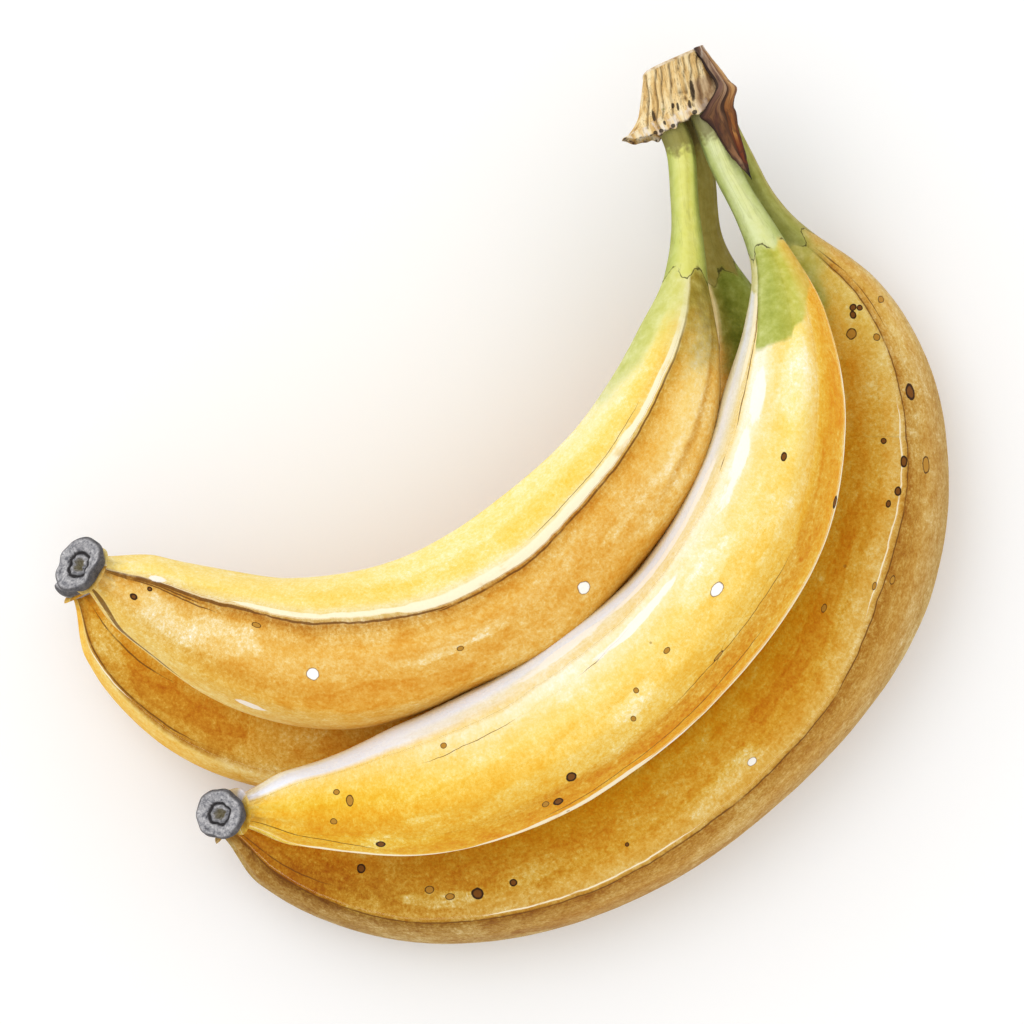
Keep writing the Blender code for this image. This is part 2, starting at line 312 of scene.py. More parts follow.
class Effects:
    """The shader effects that several finishes share, each built once as a node group."""

    def __init__(self) -> None:
        """Build the groups."""
        self.wash = self._wash()
        self.fibres = self._fibres()
        self.stroke = self._stroke()

    @staticmethod
    def _start(
        name: str, inputs: dict[str, str], outputs: dict[str, str],
    ) -> tuple[Wiring, dict[str, Socket], bpy.types.Node]:
        """Start a node group with named sockets.

        Args:
            name: The group's name.
            inputs: Input names with their socket types, less the NodeSocket prefix.
            outputs: The same for its outputs.

        Returns:
            Its wiring, its input sockets by name and its output node.
        """
        tree = bpy.data.node_groups.new(name, "ShaderNodeTree")
        for direction, sockets in (("INPUT", inputs), ("OUTPUT", outputs)):
            for socket, kind in sockets.items():
                tree.interface.new_socket(
                    name=socket, in_out=direction, socket_type="NodeSocket" + kind,
                )
        source = tree.nodes.new("NodeGroupInput")
        target = tree.nodes.new("NodeGroupOutput")
        return Wiring(tree), {socket: source.outputs[socket] for socket in inputs}, target

    def _wash(self) -> bpy.types.NodeTree:
        """Build patches of thin colour with darker rims, and the grain of settled pigment.

        Returns:
            The group, with outputs Patch, Rim and Grain from 0 to 1.
        """
        w, given, target = self._start(
            "pigment_wash", {"Where": "Vector", "Scale": "Float"},
            {"Patch": "Float", "Rim": "Float", "Grain": "Float"},
        )
        where = w.vector("MULTIPLY", given["Where"], (0.45, 1.0, 1.0))
        cloud = w.node("TexNoise")
        w.feed(cloud.inputs["Vector"], where)
        w.feed(cloud.inputs["Scale"], given["Scale"])
        cloud.inputs["Detail"].default_value = 5.0
        cloud.inputs["Roughness"].default_value = 0.55
        cloud.inputs["Distortion"].default_value = 0.35
        level = cloud.outputs["Fac"]
        w.feed(target.inputs["Patch"], w.smooth(level, 0.50, 0.56))
        near = w.math("ABSOLUTE", w.minus(level, 0.53))
        rim = w.fade(near, 0.0, 0.02)
        w.feed(target.inputs["Rim"], rim)
        coarse = w.noise(given["Where"], 420.0, 3.0, 0.7)
        fine = w.noise(given["Where"], 1500.0, 2.0, 0.6)
        coarse = w.times(coarse, 0.6)
        grain = w.plus(coarse, w.times(fine, 0.4))
        w.feed(target.inputs["Grain"], w.smooth(grain, 0.32, 0.68))
        return w.tree

    def _fibres(self) -> bpy.types.NodeTree:
        """Build streaks that run along a piece.

        Returns:
            The group, with outputs Streak, soft, and Groove, thin and dark where it is 1.
        """
        w, given, target = self._start(
            "fibres", {"Where": "Vector", "Pitch": "Float"}, {"Streak": "Float", "Groove": "Float"},
        )
        where = w.stretched(given["Where"], 0.06, 1.0)
        made = []
        for factor in (1.0, 2.3):
            noise = w.node("TexNoise")
            w.feed(noise.inputs["Vector"], where)
            w.feed(noise.inputs["Scale"], w.times(given["Pitch"], factor))
            noise.inputs["Detail"].default_value = 3.0
            made.append(noise.outputs["Fac"])
        w.feed(target.inputs["Streak"], w.smooth(made[0], 0.3, 0.7))
        near = w.math("ABSOLUTE", w.minus(made[1], 0.5))
        groove = w.fade(near, 0.0, 0.035)
        w.feed(target.inputs["Groove"], groove)
        return w.tree

    def _stroke(self) -> bpy.types.NodeTree:
        """Build one line that runs along a finger, from a share and a turn to another.

        Returns:
            The group, with output Mask from 0 to 1.
        """
        names = ("Turn", "Share", "Girth", "Start", "End", "From", "To", "Width")
        w, given, target = self._start("stroke", {name: "Float" for name in names}, {"Mask": "Float"})
        path = w.node("MapRange")
        for socket, name in (
            ("Value", "Share"), ("From Min", "Start"), ("From Max", "End"),
            ("To Min", "From"), ("To Max", "To"),
        ):
            w.feed(path.inputs[socket], given[name])
        apart = w.math("ABSOLUTE", w.minus(given["Turn"], path.outputs[0]))
        apart = w.math("DIVIDE", w.times(apart, given["Girth"]), given["Width"])
        near_start = w.minus(given["Share"], given["Start"])
        near_end = w.minus(given["End"], given["Share"])
        inside = w.smooth(w.math("MINIMUM", near_start, near_end), 0.0, 0.03)
        taper = w.math("DIVIDE", apart, w.math("MAXIMUM", inside, 0.05))
        mask = w.fade(taper, 0.38, 0.62)
        w.feed(target.inputs["Mask"], mask)
        return w.tree


class Finish:
    """A material that is being built: its wiring and its Principled shader."""

    def __init__(self, name: str) -> None:
        """Make the material and read the piece's straight coordinates.

        Args:
            name: The material's name.
        """
        self.material = bpy.data.materials.new(name)
        self.material.use_nodes = True
        self.wiring = Wiring(self.material.node_tree)
        self.shader = self.material.node_tree.nodes["Principled BSDF"]
        attribute = self.wiring.node("Attribute", attribute_name="straight")
        self.where = attribute.outputs["Vector"]
        parts = self.wiring.node("SeparateXYZ")
        self.wiring.feed(parts.inputs[0], self.where)
        self.along, self.side, self.up = parts.outputs

    def complete(
        self, colour: object, roughness: object, height: object, depth: float, gloss: float,
    ) -> bpy.types.Material:
        """Feed the shader.

        Args:
            colour: Base colour socket.
            roughness: Roughness socket or number.
            height: Bump height socket, from 0 to 1.
            depth: Bump depth in metres.
            gloss: Specular level.

        Returns:
            The finished material.
        """
        bump = self.wiring.node("Bump")
        bump.inputs["Strength"].default_value = 1.0
        bump.inputs["Distance"].default_value = depth
        self.wiring.feed(bump.inputs["Height"], height)
        self.wiring.feed(self.shader.inputs["Normal"], bump.outputs[0])
        self.wiring.feed(self.shader.inputs["Base Color"], colour)
        self.wiring.feed(self.shader.inputs["Roughness"], roughness)
        self.shader.inputs["Specular IOR Level"].default_value = gloss
        return self.material


# Modelling helpers


def deselect() -> None:
    """Leave object mode's selection empty."""
    if bpy.context.object is not None and bpy.context.object.mode != "OBJECT":
        bpy.ops.object.mode_set(mode="OBJECT")
    bpy.ops.object.select_all(action="DESELECT")


def apply_modifier(piece: bpy.types.Object, kind: str, **settings: object) -> None:
    """Add a modifier to a piece and apply it.

    Args:
        piece: The object.
        kind: The modifier's type.
        settings: Its properties.
    """
    deselect()
    piece.select_set(True)
    bpy.context.view_layer.objects.active = piece
    modifier = piece.modifiers.new(kind.lower(), kind)
    for name, value in settings.items():
        setattr(modifier, name, value)
    bpy.ops.object.modifier_apply(modifier=modifier.name)


def subdivide(piece: bpy.types.Object, levels: int) -> None:
    """Round a piece with applied Subdivision Surface."""
    apply_modifier(piece, "SUBSURF", levels=levels, render_levels=levels)


def roughen(piece: bpy.types.Object, size: float, depth: float, name: str) -> None:
    """Make a surface uneven with a cloud texture.

    Args:
        piece: The object.
        size: Size of the unevenness, in metres.
        depth: Its whole depth, in metres.
        name: The texture's name.
    """
    cloud = bpy.data.textures.new(name, "CLOUDS")
    cloud.noise_scale = size
    cloud.noise_depth = 3
    apply_modifier(
        piece, "DISPLACE", texture=cloud, strength=depth, mid_level=0.5, texture_coords="LOCAL",
    )


def read_points(piece: bpy.types.Object) -> np.ndarray:
    """Read a mesh's points.

    Args:
        piece: The object.

    Returns:
        The points, one row each.
    """
    points = np.empty(len(piece.data.vertices) * 3)
    piece.data.vertices.foreach_get("co", points)
    return points.reshape(-1, 3)


def write_points(piece: bpy.types.Object, points: np.ndarray) -> None:
    """Set a mesh's points."""
    piece.data.vertices.foreach_set("co", points.astype(np.float32).ravel())
    piece.data.update()


def store(piece: bpy.types.Object, name: str, vectors: np.ndarray) -> None:
    """Keep a vector for each point on the mesh, for its finish to read."""
    attribute = piece.data.attributes.new(name, "FLOAT_VECTOR", "POINT")
    attribute.data.foreach_set("vector", vectors.astype(np.float32).ravel())


def keep_straight(piece: bpy.types.Object) -> None:
    """Store the points, as they are now, as the straight coordinates that finishes read."""
    store(piece, "straight", read_points(piece))


def tube(name: str, places: np.ndarray, radii: np.ndarray, sides: int) -> bpy.types.Object:
    """Extrude a disc along +X through stations, each with its own radius.

    Args:
        name: The piece's name.
        places: Each station's place along X.
        radii: Each station's radius.
        sides: Points in a ring. The first is on +Y, and they turn towards +Z.

    Returns:
        The closed piece, in object mode.
    """
    deselect()
    bpy.ops.mesh.primitive_circle_add(
        vertices=sides, radius=radii[0], fill_type="NGON",
        location=(places[0], 0.0, 0.0), rotation=(0.0, math.pi / 2.0, 0.0),
    )
    piece = bpy.context.object
    piece.name = piece.data.name = name
    bpy.ops.object.transform_apply(location=True, rotation=True, scale=True)
    bpy.ops.object.mode_set(mode="EDIT")
    bpy.ops.mesh.select_all(action="SELECT")
    for near, far, old, new in zip(places, places[1:], radii, radii[1:]):
        bpy.ops.mesh.extrude_region_move(TRANSFORM_OT_translate={"value": (far - near, 0.0, 0.0)})
        share = new / old
        bpy.ops.transform.resize(value=(1.0, share, share), center_override=(far, 0.0, 0.0))
    bpy.ops.mesh.select_all(action="SELECT")
    bpy.ops.mesh.normals_make_consistent(inside=False)
    bpy.ops.object.mode_set(mode="OBJECT")
    return piece


def place_along(piece: bpy.types.Object, origin: Vector, direction: Vector) -> None:
    """Turn a piece so that its +X points along a direction, and move it to an origin.

    Args:
        piece: The object, modelled along +X from the world's origin.
        origin: Where its own origin goes.
        direction: Where its +X goes. Its +Z stays as near to up as it can.
    """
    forward = direction.normalized()
    side = Vector((0.0, 0.0, 1.0)).cross(forward).normalized()
    up = forward.cross(side)
    turn = Matrix((forward, side, up)).transposed().to_4x4()
    piece.data.transform(Matrix.Translation(origin) @ turn)
    piece.data.update()


# The bunch's form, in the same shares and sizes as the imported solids


def ease(share: np.ndarray | float) -> np.ndarray | float:
    """Go smoothly from 0 to 1."""
    share = np.clip(share, 0.0, 1.0)
    return share * share * (3.0 - 2.0 * share)


def natural_spline(knots: np.ndarray, values: np.ndarray, at: np.ndarray) -> np.ndarray:
    """Interpolate with a natural cubic spline.

    Args:
        knots: Rising places of the given values.
        values: The values there.
        at: Places to read.

    Returns:
        The values at those places.
    """
    count = len(knots)
    steps = np.diff(knots)
    slopes = np.diff(values) / steps
    system = np.eye(count)
    right = np.zeros(count)
    for i in range(1, count - 1):
        system[i, i - 1 : i + 2] = steps[i - 1], 2.0 * (steps[i - 1] + steps[i]), steps[i]
        right[i] = 6.0 * (slopes[i] - slopes[i - 1])
    bend = np.linalg.solve(system, right)
    span = np.clip(np.searchsorted(knots, at) - 1, 0, count - 2)
    step = steps[span]
    before = at - knots[span]
    after = knots[span + 1] - at
    cubic = (bend[span] * after**3 + bend[span + 1] * before**3) / (6.0 * step)
    start = (values[span] / step - bend[span] * step / 6.0) * after
    end = (values[span + 1] / step - bend[span + 1] * step / 6.0) * before
    return cubic + start + end


def even_spline(knots: np.ndarray, values: np.ndarray, at: np.ndarray) -> np.ndarray:
    """Interpolate with a cubic that never overshoots its values.

    Args:
        knots: Rising places of the given values.
        values: The values there.
        at: Places to read.

    Returns:
        The values at those places.
    """
    steps = np.diff(knots)
    slopes = np.diff(values) / steps
    tangents = np.zeros(len(knots))
    for i in range(1, len(knots) - 1):
        if slopes[i - 1] * slopes[i] > 0.0:
            tangents[i] = 2.0 * slopes[i - 1] * slopes[i] / (slopes[i - 1] + slopes[i])
    tangents[0] = slopes[0]
    tangents[-1] = slopes[-1]
    span = np.clip(np.searchsorted(knots, at) - 1, 0, len(knots) - 2)
    step = steps[span]
    share = (at - knots[span]) / step
    start = values[span] * (1.0 + 2.0 * share) * (1.0 - share) ** 2
    end = values[span + 1] * share**2 * (3.0 - 2.0 * share)
    leave = tangents[span] * step * share * (1.0 - share) ** 2
    reach = tangents[span + 1] * step * share**2 * (share - 1.0)
    return start + end + leave + reach


def squared(value: np.ndarray) -> np.ndarray:
    """Push a cosine or a sine outwards, so that a circle turns into a rounded rectangle."""
    return np.sign(value) * np.abs(value) ** (2.0 / 3.0)


def distances(points: np.ndarray) -> np.ndarray:
    """Return the distance of each point from the first, along the points."""
    steps = np.linalg.norm(np.diff(points, axis=0), axis=1)
    return np.concatenate(([0.0], np.cumsum(steps)))


@dataclass(frozen=True)
class BunchForm:
    """The sizes that the whole bunch shares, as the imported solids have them."""

    reach: float = 0.200
    finger_girth: float = 0.0352
    stalk_length: float = 0.0385
    stalk_width: float = 0.0064
    stalk_spacing: float = 0.0018
    row_spacing: float = 0.0029
    stalk_offset: float = 0.0020
    crown_length: float = 0.0124
    crown_rim: float = 0.0011
    cut_width: float = 0.0146
    flat_depth: float = 0.0004
    gap: float = 0.0003
    crown_slant: float = 24.0
    rise_end: float = 0.30
    lying_end: float = 0.80
    lift_length: float = 0.042
    ridges: int = 5
    ridge_depth: float = 0.45
    ridge_start: float = 0.30
    ridge_end: float = 0.12
    crown_base: Point = (0.219, 0.458)
    crown_lean: float = -0.2
    crown_waist: float = 0.8

    @property
    def across(self) -> np.ndarray:
        """Plan direction across the crown's base."""
        slant = math.radians(self.crown_slant)
        return np.array((math.cos(slant), math.sin(slant)))

    @property
    def out(self) -> np.ndarray:
        """Plan direction out of the crown's base, to the stalks."""
        slant = math.radians(self.crown_slant)
        return np.array((math.sin(slant), -math.cos(slant)))

    @property
    def crown_way(self) -> np.ndarray:
        """Plan direction from the crown's base to its cut face, for a unit of drop."""
        return np.array((self.crown_lean, 1.0))

    @property
    def pitch(self) -> float:
        """Distance between two stalks of one row, at the crown."""
        return self.stalk_width + self.stalk_spacing

    @property
    def crown_height(self) -> float:
        """Height of the crown's middle: the seam between the two layers."""
        return self.finger_girth - self.flat_depth

    @property
    def crown_half(self) -> tuple[float, float]:
        """Half the width and half the depth of the crown's base.

        Returns:
            Both sizes.
        """
        around = self.stalk_width / 2.0 + self.crown_rim
        width = 0.75 * self.pitch + self.stalk_offset + around
        depth = (self.stalk_width + self.row_spacing) / 2.0 + around
        return width, depth

    def crown_section(self, share: np.ndarray | float) -> tuple[np.ndarray, np.ndarray]:
        """Work out half the crown's width and half its depth.

        Args:
            share: Places from its base (0) to its cut face (1).

        Returns:
            Both sizes at each place.
        """
        waist = np.clip(share, 0.0, 1.0) ** self.crown_waist
        half_width, half_depth = self.crown_half
        width = half_width * (1.0 - waist) + self.cut_width / 2.0 * waist
        depth = half_depth * (1.0 - waist) + self.cut_width / 2.0 * waist
        return width, depth

    def ridge_depth_at(self, share: np.ndarray | float) -> np.ndarray | float:
        """Return how deep the flats between ridges are, which fade out at both ends."""
        rising = self.ridge_depth * ease(share / self.ridge_start)
        return rising * ease((1.0 - share) / self.ridge_end)

    def root_height(self, row: int) -> float:
        """Return the height of a stalk's root in the upper or the lower row."""
        return self.crown_height + row * (self.stalk_width + self.row_spacing) / 2.0

    def root_point(self, column: float) -> np.ndarray:
        """Return the plan point where a stalk leaves the crown."""
        base = np.array(self.crown_base) * self.reach
        return base + self.across * (self.stalk_offset + column * self.pitch) + self.out * self.gap

    def crown_middle(self, share: float) -> np.ndarray:
        """Return the crown's middle in plan, from its base (0) to its cut face (1)."""
        base = np.array(self.crown_base) * self.reach
        return base + self.crown_way * self.crown_length * share


def row_offset(form: BunchForm) -> np.ndarray:
    """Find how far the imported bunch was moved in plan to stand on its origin.

    Args:
        form: The bunch's sizes.

    Returns:
        The move, from the crown's place in plan.
    """
    corners = []
    half_width, _ = form.crown_half
    for share, width in ((0.0, half_width), (1.0, form.cut_width / 2.0)):
        for side in (-width, width):
            corners.append(form.crown_middle(share) + form.across * side)
    low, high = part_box("crown")
    measured = np.array((low.x + high.x, low.y + high.y)) / 2.0
    expected = (np.min(corners, axis=0) + np.max(corners, axis=0)) / 2.0
    return measured - expected


class Layer(Enum):
    """Which layer of the bunch a finger lies in."""

    LOWER = -1
    UPPER = 1


EVEN_GIRTH = (
    (0.00, 0.27), (0.08, 0.55), (0.19, 0.86), (0.33, 1.00), (0.50, 0.97), (0.68, 0.95), (0.80, 0.83),
    (0.91, 0.56), (1.00, 0.31),
)
LATE_GIRTH = (
    (0.00, 0.27), (0.08, 0.49), (0.19, 0.67), (0.34, 0.77), (0.50, 0.91), (0.65, 1.00), (0.78, 0.87),
    (0.91, 0.57), (1.00, 0.30),
)


CURVE_SAMPLES = 600
SPINE_STEP = 0.0008
RIDGE_BLUNTNESS = 2.5
ROOT_SWELL = 1.06
STALK_WAIST = 0.55


@dataclass
class Route:
    """The way one finger runs: its centre line, its girth and how it is rolled.

    The girth is in shares of the belly radius along the body. The points in plan are
    shares of the bunch's reach. Angles turn from the outer side (0) over the top (90).
    The flank is the part of the section that swells towards a neighbour.
    """

    layer: Layer
    column: float
    girth: tuple[Point, ...]
    belly: float
    lift: float
    first_ridge: float
    twist: float
    points: tuple[Point, ...]
    drift: tuple[Point, ...] = ((0.0, 0.0), (1.0, 0.0))
    ridges: int = 5
    flank: float = 0.0
    flank_angle: float = -100.0
    flank_reach: float = 75.0
    flank_shares: tuple[float, float, float, float] = (0.15, 0.34, 0.50, 0.64)
    spine: np.ndarray | None = None
    places: np.ndarray | None = None
    radii: np.ndarray | None = None

    @property
    def length(self) -> float:
        """The finger's whole length along its centre line."""
        return float(self.places[-1])

    def roll(self, share: np.ndarray) -> np.ndarray:
        """Return the first ridge's angle in degrees, at shares of the length."""
        knots, angles = np.array(self.drift).T
        return self.first_ridge + self.twist * share + even_spline(knots, angles, share)

    def section(self, form: BunchForm, angles: np.ndarray, shares: np.ndarray) -> np.ndarray:
        """Return the radius, in shares of the ridge radius, of the ridged section.

        Args:
            form: The bunch's sizes.
            angles: Angles from the first ridge, in radians.
            shares: Places along the finger, in shares of its length.

        Returns:
            The radius at each point.
        """
        gap = 2.0 * math.pi / self.ridges
        past = np.abs((angles + gap / 2.0) % gap - gap / 2.0)
        blunt = math.radians(RIDGE_BLUNTNESS)
        past = np.sqrt(past**2 + blunt**2) - blunt
        flat_side = math.cos(gap / 2.0) / np.cos(past - gap / 2.0)
        return 1.0 - form.ridge_depth_at(shares) * (1.0 - flat_side)

    def swelling(self, angles: np.ndarray, shares: np.ndarray) -> np.ndarray:
        """Return how much the section grows where one flank swells towards its neighbour.

        Args:
            angles: Angles from the first ridge, in radians.
            shares: Places along the finger, in shares of its length.

        Returns:
            The growth at each point, 1 where there is none.
        """
        apart = (np.degrees(angles) - self.flank_angle + 180.0) % 360.0 - 180.0
        across = np.cos(np.radians(np.clip(apart / self.flank_reach, -1.0, 1.0) * 90.0)) ** 2
        start, full, fading, end = self.flank_shares
        along = ease((shares - start) / (full - start)) * ease((end - shares) / (end - fading))
        return 1.0 + self.flank * across * along

    def trace(self, form: BunchForm, below: list[Route], step: float) -> None:
        """Work out the centre line in plan and in height.

        Args:
            form: The bunch's sizes.
            below: Routes that are traced already, for an upper finger to rest on.
            step: Distance between the points of the centre line.
        """
        root = form.root_point(self.column)
        points = [root, root + form.out * form.stalk_width]
        points += [np.array(point) * form.reach for point in self.points]
        points = np.array(points)
        knots = distances(points)
        fine = np.linspace(0.0, knots[-1], CURVE_SAMPLES)
        curve = np.stack([natural_spline(knots, way, fine) for way in points.T], axis=1)
        along = distances(curve)
        self.places = np.linspace(0.0, along[-1], int(round(along[-1] / step)) + 1)
        plan = np.stack([np.interp(self.places, along, way) for way in curve.T], axis=1)
        self.radii = self.radius_at(form, self.places)
        root_height = form.root_height(self.layer.value)
        rise = ease(self.places / (self.length * form.rise_end))
        risen = (self.places - self.length + form.lift_length) / form.lift_length
        lift = self.lift * np.clip(risen, 0.0, 1.0) ** 2
        if self.layer is Layer.LOWER:
            level = self._lying_heights(form)
        else:
            level = self._stacked_height(form, plan, lift, rise, root_height, below)
        heights = root_height + (level - root_height) * rise + lift
        self.spine = np.column_stack((plan, heights))

    def radius_at(self, form: BunchForm, places: np.ndarray) -> np.ndarray:
        """Work out the radius to the ridges.

        Args:
            form: The bunch's sizes.
            places: Distances along the finger from its root.

        Returns:
            The radius at each place.
        """
        belly = form.finger_girth / 2.0 * self.belly
        shares, sizes = np.array(self.girth).T
        body = self.length - form.stalk_length
        waist = form.stalk_length * STALK_WAIST
        knots = np.concatenate(([0.0, waist], form.stalk_length + shares * body))
        stalk = (form.stalk_width / 2.0 * ROOT_SWELL, form.stalk_width / 2.0)
        return even_spline(knots, np.concatenate((stalk, sizes * belly)), places)

    def _lying_heights(self, form: BunchForm) -> np.ndarray:
        """Work out the heights at which the finger lies along the ground on its belly.

        Args:
            form: The bunch's sizes.

        Returns:
            The height of the centre line at each of its places.
        """
        share = self.places / self.length
        gap = 2.0 * math.pi / form.ridges
        angles = np.linspace(0.0, 2.0 * math.pi, 21)[:-1]
        flat_side = math.cos(gap / 2.0) / np.cos(angles % gap - gap / 2.0)
        drops = []
        for place, radius in zip(share, self.radii):
            turned = angles + math.radians(self.first_ridge + self.twist * place)
            reach = radius * (1.0 - form.ridge_depth_at(place) * (1.0 - flat_side))
            drops.append(float(np.max(-np.sin(turned) * reach)))
        drops = np.array(drops)
        behind_belly = drops[int(form.lying_end * (len(drops) - 1))]
        return np.maximum(drops, behind_belly) - form.flat_depth

    def _stacked_height(
        self, form: BunchForm, plan: np.ndarray, lift: np.ndarray, rise: np.ndarray,
        root: float, below: list[Route],
    ) -> float:
        """Return the height at which the finger clears those below it.

        Args:
            form: The bunch's sizes.
            plan: The centre line in plan.
            lift: How far the tip is raised, at each place.
            rise: How much of the height is reached, at each place.
            root: The height of the root.
            below: The fingers that it rests on.

        Returns:
            The height of its centre line.
        """
        level = root
        for other in below:
            apart = np.linalg.norm(plan[:, None] - other.spine[None, :, :2], axis=2)
            reach = self.radii[:, None] + other.radii[None] + form.gap
            over = np.sqrt(np.clip(reach**2 - apart**2, 0.0, None))
            need = np.where(apart < reach, other.spine[None, :, 2] + over, 0.0).max(axis=1) - lift
            risen = (rise > 0.25) & (need > root)
            if risen.any():
                level = max(level, float((root + (need[risen] - root) / rise[risen]).max()))
        return level


# The fingers


def turn_place(degrees: float) -> float:
    """Return the ramp place, from 0 to 1, of an angle from the first ridge."""
    return 0.5 + degrees / 360.0


@dataclass(frozen=True)
class Mark:
    """A spot on the peel: its share of the length, its angle from the first ridge, and its
    half length and half width in millimetres."""

    share: float
    angle: float
    length: float
    width: float


@dataclass(frozen=True)
class Stroke:
    """A line along the peel: shares of the length, angles there, and a width in millimetres."""

    start: float
    end: float
    start_angle: float
    end_angle: float
    width: float


@dataclass(frozen=True)
class Unevenness:
    """A noise to add to a value: its waves in a metre and how far it reaches either way."""

    waves: float
    reach: float
    detail: float = 2.0
    roughness: float = 0.5
    stretch: float = 1.0

    def read(self, w: Wiring, where: Socket) -> Socket:
        """Return the noise's value.

        Args:
            w: The material's wiring.
            where: The coordinates. A stretch under 1 draws the noise out along the piece.

        Returns:
            The value, from minus to plus its reach.
        """
        if self.stretch != 1.0:
            where = w.stretched(where, self.stretch, 1.0)
        return w.scale(w.noise(where, self.waves, self.detail, self.roughness), -self.reach, self.reach)


@dataclass(frozen=True)
class Spot:
    """How one kind of spot is painted: its core, its dark rim and where the rim starts."""

    core: str
    rim: str
    rim_start: float


FRECKLE = Spot("7a4a16", "3a220c", 0.55)
RING = Spot("b9852f", "4a2c10", 0.72)
PALE_SPOT = Spot("fffdf6", "8a5f2a", 0.80)


@dataclass(frozen=True)
class Peel:
    """The skin of one finger. Bands are angles in degrees from the first ridge with colours, which hold
    painted light and shade as well as the peel's own colour.
    """

    name: str
    neck: tuple[Band, ...]
    belly: tuple[Band, ...]
    tip: tuple[Band, ...]
    stalk: tuple[Band, ...]
    green_reach: tuple[Point, ...]
    green: tuple[Band, ...]
    green_edge: float = 0.010
    neck_ends: Point = (0.28, 0.45)
    tip_starts: Point = (0.66, 0.90)
    tip_shade: str = "8a6a2c"
    freckles: tuple[Mark, ...] = ()
    rings: tuple[Mark, ...] = ()
    pale_spots: tuple[Mark, ...] = ()
    # Dark ink strokes along ridges and edges, partly painted shade below the ridges and where the fingers
    # meet.
    ink_and_shade: tuple[Stroke, ...] = ()
    # Cream strokes: painted highlights along the ridges.
    highlight_strokes: tuple[Stroke, ...] = ()
    # Near-white painted highlights.
    highlights: tuple[Mark, ...] = ()
    washes: tuple[Mark, ...] = ()
    glazes: tuple[Mark, ...] = ()
    seed: float = 0.0

    def make(self, route: Route, form: BunchForm, effects: Effects) -> bpy.types.Material:
        """Paint the skin, from its ground colours to its spots.

        Args:
            route: The finger's route.
            form: The bunch's sizes.
            effects: The shared node groups.

        Returns:
            The material.
        """
        skin = Skin(self, route, form, effects)
        skin.lines()
        skin.paint_highlights()
        skin.green_neck()
        skin.stalk()
        skin.root()
        skin.gathered_tip()
        skin.specks()
        skin.spots(self.freckles, FRECKLE)
        skin.spots(self.rings, RING)
        skin.spots(self.pale_spots, PALE_SPOT)
        return skin.complete()


